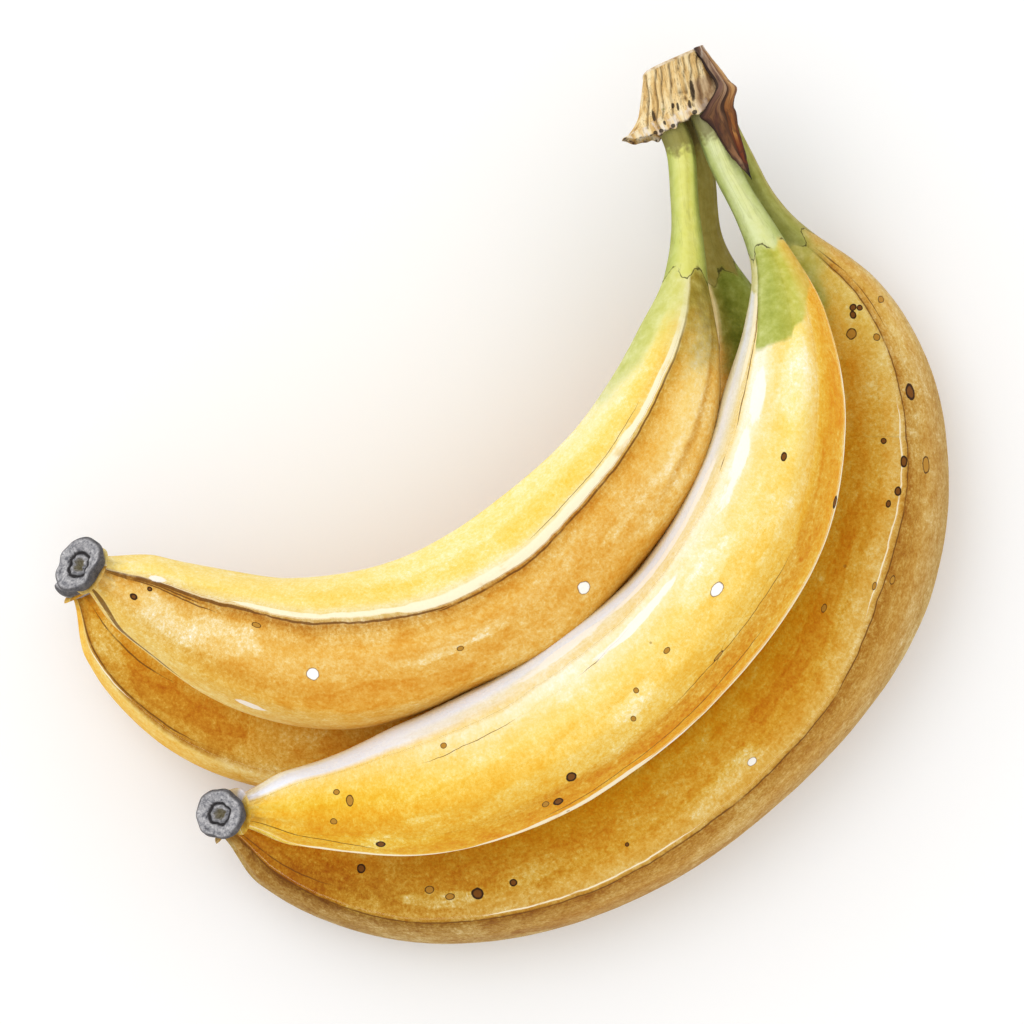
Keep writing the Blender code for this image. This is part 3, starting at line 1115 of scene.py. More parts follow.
class Skin:
    """One finger's skin while it is painted: its wiring, its coordinates and its layers."""

    SWAY = Unevenness(30.0, 0.010)
    TREMBLE = Unevenness(240.0, 0.004)
    DRIFT = Unevenness(60.0, 0.06, 3.0)
    FLECKS = Unevenness(1100.0, 1.0, 4.0, 0.85)
    CLOUDS = Unevenness(170.0, 0.45, 3.0, 0.6)
    SPOT_RIM = Unevenness(700.0, 0.22)
    PATCH_SHAPE = Unevenness(60.0, 1.1)
    PATCH_BRUSH = Unevenness(230.0, 0.9, 4.0, 0.65, 0.35)
    HIGHLIGHT_SHAPE = Unevenness(90.0, 0.5)
    HIGHLIGHT_BRUSH = Unevenness(420.0, 0.7, 4.0, 0.7, 0.3)
    CALYX_EDGE = Unevenness(360.0, 0.0022, 3.0)
    ROOT_EDGE = Unevenness(500.0, 0.004)
    TIP_EDGE = Unevenness(520.0, 0.011, 3.0, 0.65, 0.25)
    CALYX_PLACE = 0.0375
    CALYX_SCALLOP = 0.0030
    BUMP_DEPTH = 0.00025
    GLOSS = 0.12

    def __init__(self, peel: Peel, route: Route, form: BunchForm, effects: Effects) -> None:
        """Start the material and work out the coordinates that its layers share.

        Args:
            peel: The skin's colours and marks.
            route: The finger's route.
            form: The bunch's sizes.
            effects: The shared node groups.
        """
        self.peel, self.route, self.form, self.effects = peel, route, form, effects
        self.finish = Finish(peel.name)
        self.w = w = self.finish.wiring
        self.where = where = w.vector("ADD", self.finish.where, (peel.seed, 0.0, 0.0))
        angle = w.math("ARCTAN2", self.finish.up, self.finish.side)
        turn = w.math("MULTIPLY_ADD", angle, 0.5 / math.pi, 0.5)
        turn = w.plus(turn, self.SWAY.read(w, where))
        self.turn = w.plus(turn, self.TREMBLE.read(w, where))
        self.share = w.math("DIVIDE", self.finish.along, route.length)
        radius = w.vector("LENGTH", w.vector("MULTIPLY", self.finish.where, (0.0, 1.0, 1.0)))
        self.girth = w.times(radius, 2.0 * math.pi)
        self.wash = w.group(effects.wash, Where=where, Scale=55.0)
        self.streaks = w.group(effects.fibres, Where=where, Pitch=260.0)
        self.colour = w.vector("POWER", self.ground(), w.combine(self.density()))
        grain = w.times(self.wash.outputs["Grain"], 0.35)
        fibres = w.times(self.streaks.outputs["Streak"], 0.25)
        self.height = w.plus(grain, fibres)

    def bands(self, stops: tuple[Band, ...]) -> Socket:
        """Return the colour that bands give at each turn round the finger."""
        return self.w.ramp(self.turn, [(turn_place(angle), code) for angle, code in stops])

    def nearest(self, marks: tuple[Mark, ...], ragged: Socket) -> Socket:
        """Return how far a point is from the nearest mark: 0 at its middle and 1 at its rim.

        Args:
            marks: The marks.
            ragged: A small value to add, so that the rims are uneven.

        Returns:
            The distance's socket.
        """
        w, route = self.w, self.route
        found = None
        for mark in marks:
            place = mark.share * route.length
            angle = math.radians(mark.angle)
            at = np.array([angle]), np.array([mark.share])
            radius = float(route.radius_at(self.form, np.array([place]))[0])
            radius *= float(route.section(self.form, *at)[0])
            radius *= float(route.swelling(*at)[0])
            middle = (place, radius * math.cos(angle), radius * math.sin(angle))
            size = (mark.length * MM, mark.width * MM, mark.width * MM)
            stretch = tuple(1.0 / one for one in size)
            offset = tuple(-place / one for place, one in zip(middle, size))
            apart = w.vector("LENGTH", w.vector("MULTIPLY_ADD", self.finish.where, stretch, offset))
            found = apart if found is None else w.math("MINIMUM", found, apart)
        return w.plus(found, ragged)

    def drawn(self, strokes: tuple[Stroke, ...]) -> Socket:
        """Draw all strokes of one kind.

        Args:
            strokes: The strokes.

        Returns:
            Their mask's socket, from 0 to 1.
        """
        w = self.w
        found = None
        for stroke in strokes:
            made = w.group(
                self.effects.stroke, Turn=self.turn, Share=self.share, Girth=self.girth,
                Start=stroke.start, End=stroke.end, From=turn_place(stroke.start_angle),
                To=turn_place(stroke.end_angle), Width=stroke.width * MM,
            )
            found = made.outputs[0] if found is None else w.math("MAXIMUM", found, made.outputs[0])
        return found

    def ground(self) -> Socket:
        """Lay the bands, which change from the neck over the belly to the tip.

        Returns:
            The colour's socket.
        """
        w, peel = self.w, self.peel
        drift = w.plus(self.share, self.DRIFT.read(w, self.where))
        colour = w.mix(w.smooth(drift, *peel.neck_ends), self.bands(peel.neck), self.bands(peel.belly))
        return w.mix(w.smooth(drift, *peel.tip_starts), colour, self.bands(peel.tip))

    def density(self) -> Socket:
        """Work out how strong the pigment is.

        Returns:
            1 where it is as the bands have it, and more where it is darker.
        """
        w = self.w
        density = w.plus(1.0, w.scale(self.wash.outputs["Patch"], 0.08, -0.12))
        density = w.plus(density, w.scale(self.wash.outputs["Rim"], 0.0, 0.05))
        density = w.plus(density, w.scale(self.wash.outputs["Grain"], -0.15, 0.22))
        density = w.plus(density, w.scale(self.streaks.outputs["Streak"], -0.07, 0.09))
        density = w.plus(density, self.FLECKS.read(w, self.where))
        density = w.plus(density, self.CLOUDS.read(w, self.where))
        shape = self.PATCH_SHAPE.read(w, self.where)
        uneven = w.plus(shape, self.PATCH_BRUSH.read(w, self.where))
        if self.peel.glazes:
            apart = self.nearest(self.peel.glazes, uneven)
            inside = w.fade(apart, 0.80, 1.06)
            rim = w.times(inside, w.smooth(apart, 0.50, 0.90))
            density = w.plus(density, w.times(inside, 0.16))
            density = w.plus(density, w.times(rim, 0.14))
        if self.peel.washes:
            apart = self.nearest(self.peel.washes, uneven)
            pale = w.fade(apart, 0.55, 1.0)
            density = w.minus(density, w.times(pale, 0.36))
        return density

    def lay(self, mask: Socket, strength: float, code: str) -> None:
        """Lay a display colour over the skin where the mask is 1."""
        self.colour = self.w.paint(self.colour, mask, strength, code)

    def lines(self) -> None:
        """Draw the cream strokes, painted highlights along the ridges, and the dark ink strokes, partly
        painted shade below the ridges and where fingers meet, broken as by a dry brush.
        """
        w = self.w
        brushed = w.noise(w.stretched(self.where, 0.5, 1.0), 300.0, 3.0, 0.6)
        broken = w.smooth(brushed, 0.30, 0.46)
        for strokes, code, thin, full in (
            (self.peel.highlight_strokes, "fff3d2", 0.35, 0.92), (self.peel.ink_and_shade, "6a3f12", 0.40, 0.85),
        ):
            if strokes:
                share = w.times(self.drawn(strokes), w.scale(broken, thin, full))
                self.colour = w.mix(share, self.colour, linear(code))

    def paint_highlights(self) -> None:
        """Paint highlights: lift the colour off to near white where the light catches the peel."""
        w = self.w
        if self.peel.highlights:
            uneven = w.plus(self.HIGHLIGHT_BRUSH.read(w, self.where), self.HIGHLIGHT_SHAPE.read(w, self.where))
            apart = self.nearest(self.peel.highlights, uneven)
            self.lay(w.fade(apart, 0.70, 0.98), 0.82, "fdf8f0")

    def mottled(self, stops: tuple[Band, ...], low: float, high: float) -> Socket:
        """Return bands' colours, mottled between a low and a high strength of pigment."""
        density = self.w.scale(self.w.noise(self.where, 380.0, 4.0, 0.65), low, high)
        return self.w.vector("POWER", self.bands(stops), self.w.combine(density))

    def green_neck(self) -> None:
        """Lay the unripe green over the neck, as far as it reaches at each turn."""
        w, peel = self.w, self.peel
        stops = [(turn_place(angle), share) for angle, share in peel.green_reach]
        edge = w.minus(self.share, w.curve(self.turn, stops))
        ragged = Unevenness(170.0, 0.5 * peel.green_edge + 0.012, 4.0)
        edge = w.plus(edge, ragged.read(w, self.where))
        share = w.times(w.fade(edge, -peel.green_edge, peel.green_edge), 0.95)
        self.colour = w.mix(share, self.colour, self.mottled(peel.green, 0.25, 1.75))

    def stalk(self) -> None:
        """Lay the stalk's colour up to the calyx, with its scalloped outline."""
        w = self.w
        stalk = self.mottled(self.peel.stalk, 0.62, 1.38)
        stalk = w.paint(stalk, self.streaks.outputs["Groove"], 0.16, "5e6124")
        scallop = w.math("ABSOLUTE", w.math("SINE", w.times(self.turn, math.pi * 5.0)))
        scallop = w.times(w.math("POWER", scallop, 3.0), self.CALYX_SCALLOP)
        calyx = w.plus(self.finish.along, self.CALYX_EDGE.read(w, self.where))
        calyx = w.minus(w.minus(calyx, scallop), self.CALYX_PLACE)
        self.colour = w.mix(w.fade(calyx, -0.0012, 0.0012), self.colour, stalk)
        line = w.fade(w.math("ABSOLUTE", calyx), 0.00008, 0.00034)
        line = w.times(line, w.smooth(w.noise(self.where, 210.0), 0.34, 0.50))
        self.lay(line, 0.85, "3f3a18")

    def root(self) -> None:
        """Darken the stalk's root, under the crown's edge."""
        low = self.w.plus(self.finish.along, self.ROOT_EDGE.read(self.w, self.where))
        self.lay(self.w.fade(low, 0.0068, 0.0100), 0.72, "6c5d33")

    def gathered_tip(self) -> None:
        """Darken the peel where it gathers at the blossom end."""
        w = self.w
        left = w.minus(self.route.length, self.finish.along)
        ragged = w.plus(left, self.TIP_EDGE.read(w, self.where))
        self.lay(w.fade(ragged, -0.002, 0.007), 0.45, self.peel.tip_shade)

    def specks(self) -> None:
        """Scatter fine brown specks over the peel, a little sunk into it."""
        w = self.w
        cells = w.node("TexVoronoi", feature="F1")
        w.feed(cells.inputs["Vector"], self.where)
        cells.inputs["Scale"].default_value = 190.0
        shown = w.math("GREATER_THAN", w.separate(cells.outputs["Color"])[0], 0.94)
        speck = w.times(w.fade(cells.outputs["Distance"], 0.05, 0.10), shown)
        self.lay(speck, 0.55, "8a5a1e")
        self.height = w.minus(self.height, w.times(speck, 0.3))

    def spots(self, marks: tuple[Mark, ...], kind: Spot) -> None:
        """Paint spots of one kind, a little sunk into the peel.

        Args:
            marks: The spots.
            kind: How they are painted.
        """
        w = self.w
        if marks:
            apart = self.nearest(marks, self.SPOT_RIM.read(w, self.where))
            inside = w.fade(apart, 0.96, 1.06)
            rim = w.smooth(apart, kind.rim_start, kind.rim_start + 0.2)
            spot = w.mix(rim, linear(kind.core), linear(kind.rim))
            self.colour = w.mix(inside, self.colour, spot)
            self.height = w.minus(self.height, w.times(inside, 0.35))

    def complete(self) -> bpy.types.Material:
        """Return the finished material, with a soft sheen where the grain is fine."""
        roughness = self.w.scale(self.wash.outputs["Grain"], 0.52, 0.66)
        return self.finish.complete(self.colour, roughness, self.height, self.BUMP_DEPTH, self.GLOSS)


@dataclass
class Finger:
    """One banana with its stalk, from inside the crown to the blossom end."""

    letter: str
    route: Route
    peel: Peel
    sides: int = 20
    station_step: float = 0.0062
    rooted: float = 0.0035
    levels: int = 3
    tip_fold: float = 0.00035
    tip_taper: float = 0.42
    tip_slant: float = 32.0
    tip_edge: float = 0.0004
    tip_face: float = 0.82
    end_cap: float = 0.0009
    stalk_groove: float = 0.00010
    dent_size: float = 0.022
    unevenness: float = 0.0005

    @property
    def node(self) -> str:
        """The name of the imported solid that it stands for."""
        return "banana_" + self.letter

    def near_tip(self, places: np.ndarray, before: float, over: float) -> np.ndarray:
        """Return 0 up to a distance before the tip, and then ease to 1 over a length."""
        return ease((places - self.route.length + before) / over)

    def build(self, form: BunchForm, offset: np.ndarray) -> bpy.types.Object:
        """Model the finger straight, then bend it along its route.

        Args:
            form: The bunch's sizes.
            offset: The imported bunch's move in plan.

        Returns:
            The finished mesh.
        """
        route = self.route
        count = int((route.length + self.rooted) / self.station_step)
        places = np.linspace(-self.rooted, route.length - 3.0 * self.tip_edge, count)
        places = np.append(places, (route.length - self.tip_edge, route.length))
        radii = route.radius_at(form, np.clip(places, 0.0, route.length))
        radii[-1] *= self.tip_face
        piece = tube("peel_" + self.letter, places, radii, self.sides)
        subdivide(piece, self.levels)
        self._carve(piece, form)
        keep_straight(piece)
        self._roll(piece)
        self._bend(piece, form, offset)
        roughen(piece, self.dent_size, self.unevenness, "peel_unevenness_" + self.letter)
        if route.layer is Layer.LOWER:
            points = read_points(piece)
            points[:, 2] = np.maximum(points[:, 2], 0.0)
            write_points(piece, points)
        return piece

    def _carve(self, piece: bpy.types.Object, form: BunchForm) -> None:
        """Give the round tube its ridges, the stalk's grooves and the folds at the tip.

        Args:
            piece: The straight mesh.
            form: The bunch's sizes.
        """
        points = read_points(piece)
        angles = np.arctan2(points[:, 2], points[:, 1])
        length = self.route.length
        share = np.clip(points[:, 0] / length, 0.0, 1.0)
        inner = points[:, 0] > length - self.end_cap
        radii = np.hypot(points[:, 1], points[:, 2])
        target = self.route.radius_at(form, share * length)
        target = target * (1.0 - self.tip_taper * self.near_tip(share * length, 0.014, 0.014))
        target = np.where(inner, np.minimum(radii, target), target)
        inside = (points[:, 0] < -self.rooted + self.end_cap) | inner
        target = np.where(inside, radii, target)
        shape = self.route.section(form, angles, share) * self.route.swelling(angles, share)
        folds = np.cos(angles * 10.0 + 0.8 * np.sin(angles * 3.0)) * self.tip_fold
        folds *= self.near_tip(share * length, 0.020, 0.016)
        grooves = np.cos(angles * 9.0 + 0.6 * np.sin(points[:, 0] * 160.0)) * self.stalk_groove
        grooves *= 1.0 - ease((points[:, 0] - 0.024) / 0.022)
        radius = target * shape + np.where(inside, 0.0, folds + grooves)
        points[:, 1] = radius * np.cos(angles)
        points[:, 2] = radius * np.sin(angles)
        write_points(piece, points)

    def _roll(self, piece: bpy.types.Object) -> None:
        """Turn each section so that its first ridge is at its angle, and slant the tip.

        Args:
            piece: The straight mesh.
        """
        points = read_points(piece)
        share = np.clip(points[:, 0] / self.route.length, 0.0, 1.0)
        roll = np.radians(self.route.roll(share))
        y = points[:, 1] * np.cos(roll) - points[:, 2] * np.sin(roll)
        z = points[:, 1] * np.sin(roll) + points[:, 2] * np.cos(roll)
        points[:, 1], points[:, 2] = y, z
        slant = math.tan(math.radians(self.tip_slant)) * self.near_tip(points[:, 0], 0.016, 0.016)
        points[:, 0] -= np.minimum(z, 0.0) * slant
        write_points(piece, points)

    def _bend(self, piece: bpy.types.Object, form: BunchForm, offset: np.ndarray) -> None:
        """Bend the straight finger along its spine.

        Args:
            piece: The straight mesh.
            form: The bunch's sizes.
            offset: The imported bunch's move in plan.
        """
        spine = self.route.spine.copy()
        start = spine[0] - np.array((*form.out, 0.0)) * self.rooted
        spine = np.vstack((start, spine))
        spine[:, :2] += offset
        guide = bpy.data.curves.new("spine_" + self.letter, "CURVE")
        guide.dimensions = "3D"
        guide.twist_mode = "Z_UP"
        line = guide.splines.new("POLY")
        line.points.add(len(spine) - 1)
        for point, place in zip(line.points, spine):
            point.co = (*place, 1.0)
        holder = bpy.data.objects.new("spine_" + self.letter, guide)
        bpy.context.scene.collection.objects.link(holder)
        piece.data.transform(Matrix.Translation((self.rooted, 0.0, 0.0)))
        apply_modifier(piece, "CURVE", object=holder, deform_axis="POS_X")
        bpy.data.objects.remove(holder)
        bpy.data.curves.remove(guide)

    def dress(self, piece: bpy.types.Object, form: BunchForm, effects: Effects) -> None:
        """Give the finger its skin and its smooth shading.

        Args:
            piece: The finished mesh, with its straight coordinates.
            form: The bunch's sizes.
            effects: The shared node groups.
        """
        piece.data.materials.clear()
        piece.data.materials.append(self.peel.make(self.route, form, effects))
        piece.data.shade_smooth()


# The blossom ends


BUTTON_HALF_WIDTH = 5.4 * MM


@dataclass(frozen=True)
class Cork:
    """The dried, corky finish of the blossom ends."""

    name: str = "blossom_cork"
    black: str = "1f1a1c"
    dark: str = "453f42"
    middle: str = "7f7f84"
    light: str = "a3a1a3"
    pale: str = "cfcdce"
    pith: str = "6e6234"
    edge: str = "2b2628"

    def make(self, effects: Effects) -> bpy.types.Material:
        """Return the finish.

        Args:
            effects: The shared node groups; not used.

        Returns:
            The material.
        """
        finish = Finish(self.name)
        w = finish.wiring
        radius = w.vector("LENGTH", w.vector("MULTIPLY", finish.where, (0.0, 1.0, 1.0)))
        radius = w.times(radius, 1.0 / BUTTON_HALF_WIDTH)
        mottle = w.noise(finish.where, 800.0, 4.0, 0.7)
        fine = w.noise(finish.where, 2600.0, 3.0, 0.6)
        level = w.plus(w.times(mottle, 0.8), w.times(fine, 0.4))
        level = w.minus(level, 0.08)
        colour = w.ramp(level, [
            (0.20, self.black), (0.32, self.dark), (0.43, self.middle), (0.53, self.light),
            (0.66, self.pale),
        ])
        uneven = w.plus(radius, w.scale(mottle, -0.06, 0.06))
        apart = w.math("ABSOLUTE", w.minus(uneven, 0.44))
        ring = w.fade(apart, 0.03, 0.10)
        colour = w.paint(colour, ring, 0.95, self.black)
        pit = w.fade(uneven, 0.14, 0.30)
        colour = w.paint(colour, pit, 0.8, self.pith)
        edge = w.smooth(w.plus(radius, w.scale(mottle, -0.05, 0.05)), 0.88, 0.99)
        colour = w.paint(colour, edge, 0.8, self.edge)
        return finish.complete(colour, w.scale(mottle, 0.55, 0.9), level, 0.0005, 0.35)


@dataclass
class BlossomEnd:
    """The dried remnant of the blossom on a finger's tip: a corky button with a pit.

    The profile runs from the button's hidden back to its pit: places in millimetres, with
    radii in shares of its half width.
    """

    letter: str
    lobes: int = 3
    lobe_depth: float = 0.10
    phase: float = 0.0
    spike: float = 0.0
    size: float = 1.0
    seat: float = 0.0013
    slant: float = 40.0
    sides: int = 28
    levels: int = 2
    half_width: float = BUTTON_HALF_WIDTH
    wave: float = 0.00045
    ripple: float = 0.00030
    profile: tuple[Point, ...] = (
        (-2.2, 0.60), (-1.0, 0.82), (0.2, 0.96), (1.0, 1.02), (1.9, 1.05), (2.5, 0.97),
        (2.75, 0.84), (2.6, 0.66), (2.35, 0.53), (1.9, 0.48), (1.6, 0.43), (1.9, 0.36),
        (2.1, 0.29), (1.8, 0.22), (1.0, 0.17), (0.9, 0.08),
    )

    def build(self, route: Route, offset: np.ndarray, form: BunchForm) -> bpy.types.Object:
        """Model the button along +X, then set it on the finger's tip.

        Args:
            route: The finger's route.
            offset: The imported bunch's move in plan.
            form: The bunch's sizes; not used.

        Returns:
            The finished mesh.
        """
        places, shares = np.array(self.profile).T
        name = "dried_tip_" + self.letter
        piece = tube(name, places * MM, shares * self.half_width, self.sides)
        subdivide(piece, self.levels)
        keep_straight(piece)
        points = read_points(piece)
        angles = np.arctan2(points[:, 2], points[:, 1])
        lobed = self.size * (1.0 + self.lobe_depth * np.cos(self.lobes * angles + self.phase))
        lobed += 0.025 * np.cos(5.0 * angles + 1.3 + self.phase) + 0.02 * np.cos(9.0 * angles)
        points[:, 1:] *= lobed[:, None]
        high = ease(points[:, 0] / 0.0024)
        points[:, 0] += high * self.wave * np.cos(3.0 * angles + self.phase)
        points[:, 0] += high * self.ripple * np.cos(8.0 * angles + 0.7)
        if self.spike:
            aim = np.cos(angles - 1.2) * np.hypot(points[:, 1], points[:, 2]) / self.half_width
            points[:, 0] += self.spike * ease((aim - 0.55) / 0.3) * high
        write_points(piece, points)
        spine = route.spine
        direction = Vector(spine[-1] - spine[-2]).normalized()
        origin = Vector(spine[-1]) + Vector((*offset, 0.0)) - direction * self.seat
        slant = math.radians(self.slant)
        direction = direction * math.cos(slant) + Vector((0.0, 0.0, 1.0)) * math.sin(slant)
        place_along(piece, origin, direction)
        piece.data.shade_smooth()
        return piece


# The crown


@dataclass(frozen=True)
class CrownWood:
    """The dry, fibrous finish of the crown.

    A scar is its drop, its place across and its two half sizes, in millimetres.
    """

    name: str = "crown_wood"
    wood: tuple[Band, ...] = (
        (0.18, "8a6640"), (0.32, "bd9355"), (0.44, "e0bb7a"), (0.58, "edd199"),
        (0.74, "f3e0b2"), (0.92, "f8eed6"),
    )
    cut: tuple[Band, ...] = ((0.34, "9c7a56"), (0.46, "d4bc98"), (0.60, "ecdfca"))
    scars: tuple[tuple[float, float, float, float], ...] = (
        (-2.3, -8.3, 0.5, 0.45), (-2.4, -6.9, 0.45, 0.5), (-2.5, -3.9, 0.45, 0.5),
        (1.6, -7.4, 1.4, 0.35), (1.9, -2.4, 0.6, 0.35), (1.2, -1.3, 0.9, 0.3),
        (-1.6, 2.0, 0.5, 0.6), (3.4, 2.9, 2.4, 0.55), (0.6, 1.6, 1.0, 0.35),
        (-1.0, -5.4, 0.5, 0.3),
    )

    def make(self, effects: Effects) -> bpy.types.Material:
        """Return the finish. Straight coordinates are the drop, and the way across and up.

        Args:
            effects: The shared node groups.

        Returns:
            The material.
        """
        finish = Finish(self.name)
        w = finish.wiring
        fibres = w.group(effects.fibres, Where=finish.where, Pitch=520.0)
        broad = w.noise(w.stretched(finish.where, 0.3, 1.0), 330.0, 4.0, 0.6)
        mottle = w.noise(finish.where, 900.0, 3.0, 0.6)
        level = w.times(fibres.outputs["Streak"], 0.42)
        level = w.plus(level, w.times(broad, 0.33))
        level = w.plus(level, w.times(mottle, 0.30))
        colour = w.ramp(level, self.wood)
        colour = w.paint(colour, fibres.outputs["Groove"], 0.5, "6c4f33")
        low = w.plus(finish.along, w.scale(mottle, -0.0035, 0.0035))
        worn = w.fade(low, -0.0012, 0.0008)
        worn = w.times(worn, w.smooth(broad, 0.44, 0.60))
        colour = w.paint(colour, worn, 0.85, "efe7dc")
        shade = w.node("Attribute", attribute_name="wear")
        groove, rim, lip = w.separate(shade.outputs["Vector"])
        # Painted shade in the grooves, deeper where the broad noise is high.
        deep = w.times(groove, w.scale(broad, 0.55, 1.0))
        colour = w.mix(deep, colour, linear("3f2b1b"))
        cut = w.ramp(w.noise(finish.where, 620.0, 5.0, 0.7), self.cut)
        colour = w.mix(w.times(rim, 0.9), colour, cut)
        dark_lip = w.times(lip, w.smooth(mottle, 0.35, 0.6))
        colour = w.mix(dark_lip, colour, linear("4a382c"))
        # The torn right edge beside the bract, darker partly as painted shade where the crown meets the
        # bract.
        torn_and_shaded = w.fade(finish.along, 0.0045, 0.0065)
        torn_and_shaded = w.times(w.smooth(finish.side, 0.0022, 0.0040), torn_and_shaded)
        shreds = w.mix(fibres.outputs["Streak"], linear("6e4f39"), linear("c3a27c"))
        colour = w.mix(w.times(torn_and_shaded, 0.78), colour, shreds)
        found = None
        for drop, across, long, wide in self.scars:
            stretch = (1.0 / (long * MM), 1.0 / (wide * MM), 0.0)
            offset = (-drop / long, -across / wide, 0.0)
            apart = w.vector("LENGTH", w.vector("MULTIPLY_ADD", finish.where, stretch, offset))
            found = apart if found is None else w.math("MINIMUM", found, apart)
        found = w.plus(found, w.scale(mottle, -0.45, 0.45))
        scar = w.fade(found, 0.75, 1.15)
        scar = w.times(scar, w.smooth(finish.up, 0.0, 0.002))
        colour = w.paint(colour, scar, 0.9, "2c1f18")
        height = w.minus(level, w.times(scar, 0.8))
        return finish.complete(colour, 0.82, height, 0.0006, 0.2)


@dataclass
class Crown:
    """The woody crown that the stalks grow from, with its fibres, skirt and cut face.

    The profile runs from the skirt's hollow over its lip (-1) to the cut face (1), with the
    section's share at each place. The skirt is how far the lip reaches down, from side to
    side. The grooves are places across.
    """

    sides: int = 60
    levels: int = 2
    unit: float = 0.01
    profile: tuple[Point, ...] = (
        (0.10, 0.50), (0.0, 0.74), (-0.5, 0.88), (-0.95, 0.94), (-1.0, 0.97), (-0.94, 1.0),
        (-0.7, 1.0), (-0.35, 1.0), (0.0, 1.0), (0.12, 1.0), (0.25, 1.0), (0.4, 1.0),
        (0.55, 1.0), (0.7, 1.0), (0.83, 1.0), (0.91, 1.0), (0.96, 0.995), (0.99, 0.97),
        (1.0, 0.92), (0.985, 0.82), (0.97, 0.45),
    )
    grooves: tuple[float, ...] = (
        -0.0088, -0.0068, -0.0055, -0.0034, -0.0014, -0.0001, 0.0015, 0.0032,
    )
    groove_width: float = 0.00030
    groove_depth: float = 0.00045
    rim_swell: float = 0.0003
    mean_radius: float = 0.0085
    skirt: tuple[Point, ...] = (
        (-1.0, 0.0004), (-0.65, 0.0029), (-0.45, 0.0032), (-0.08, 0.0027), (0.34, 0.0021),
        (0.62, 0.0006), (1.0, 0.0004),
    )

    def build(self, form: BunchForm, offset: np.ndarray) -> bpy.types.Object:
        """Model the crown from the hollow of its skirt to its cut face.

        Args:
            form: The bunch's sizes.
            offset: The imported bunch's move in plan.

        Returns:
            The finished mesh.
        """
        length = form.crown_length
        places, shares = np.array(self.profile).T
        piece = tube("crown_stub", places * self.unit, shares * self.unit, self.sides)
        subdivide(piece, self.levels)
        points = read_points(piece)
        angles = np.arctan2(points[:, 2], points[:, 1])
        inward = np.hypot(points[:, 1], points[:, 2]) / self.unit
        share = points[:, 0] / self.unit
        width, depth = form.crown_section(share)
        side, up = squared(np.cos(angles)), squared(np.sin(angles))
        below = np.clip(-share, 0.0, 1.0)
        knots, reach = np.array(self.skirt).T
        ragged = 0.00028 * np.sin(side * 23.0 + 2.0) + 0.00020 * np.sin(side * 41.0)
        hanging = -below * (even_spline(knots, reach, side) + ragged)
        drop = np.where(share > 0.0, share * length, hanging)
        corner = ease((-side - 0.6) / 0.4)
        lip = ease((0.30 - share) / 0.5)
        flare = lip * (0.0006 + 0.0016 * corner)
        rim = np.exp(-(((share - 0.95) / 0.04) ** 2))
        outer = ease((inward - 0.9) / 0.08)
        side_way = side * width * inward
        plan_x = side_way * form.across[0] + form.crown_lean * np.clip(drop, 0.0, length)
        wavy = plan_x + 0.06 * (drop - length) + 0.00018 * np.sin(drop * 900.0 + side * 9.0)
        near = np.min(np.abs(wavy[:, None] - np.array(self.grooves)[None]), axis=1)
        groove = np.clip(1.0 - near / self.groove_width, 0.0, 1.0) * ease((0.96 - share) / 0.05)
        groove *= outer
        groove *= ease((share + 0.55 + 0.5 * np.sin(side * 31.0)) / 0.3)
        relief = (rim * self.rim_swell - groove * self.groove_depth) * outer
        out = 1.0 + (flare + relief) / self.mean_radius
        bulge = 0.0003 * np.sin(side * 6.0 + 1.0) * np.sin(np.clip(share, 0.0, 1.0) * math.pi)
        side_way = side_way * out
        up_way = up * depth * inward * out + np.sign(up) * bulge
        write_points(piece, np.column_stack((drop, side_way, up_way)))
        keep_straight(piece)
        middle = np.array(form.crown_base) * form.reach + offset
        way = np.where(drop[:, None] > 0.0, form.crown_way[None], -form.out[None])
        plan = middle[None] + drop[:, None] * way + np.outer(side_way, form.across)
        write_points(piece, np.column_stack((plan, form.crown_height + up_way)))
        cut = ease((share - 0.93) / 0.03)
        # Masks of the grooves, the cut face and the skirt's lip for the finish; the grooves get painted
        # shade.
        wear = np.column_stack((groove, cut, ease((below - 0.75) / 0.2)))
        store(piece, "wear", wear)
        piece.data.shade_smooth()
        return piece


# The dried bract


SCALE_LENGTH = 0.0337
SCALE_HALF_WIDTH = 0.0045
SCALE_FADE = 1.1
SCALE_VALLEY = 0.10


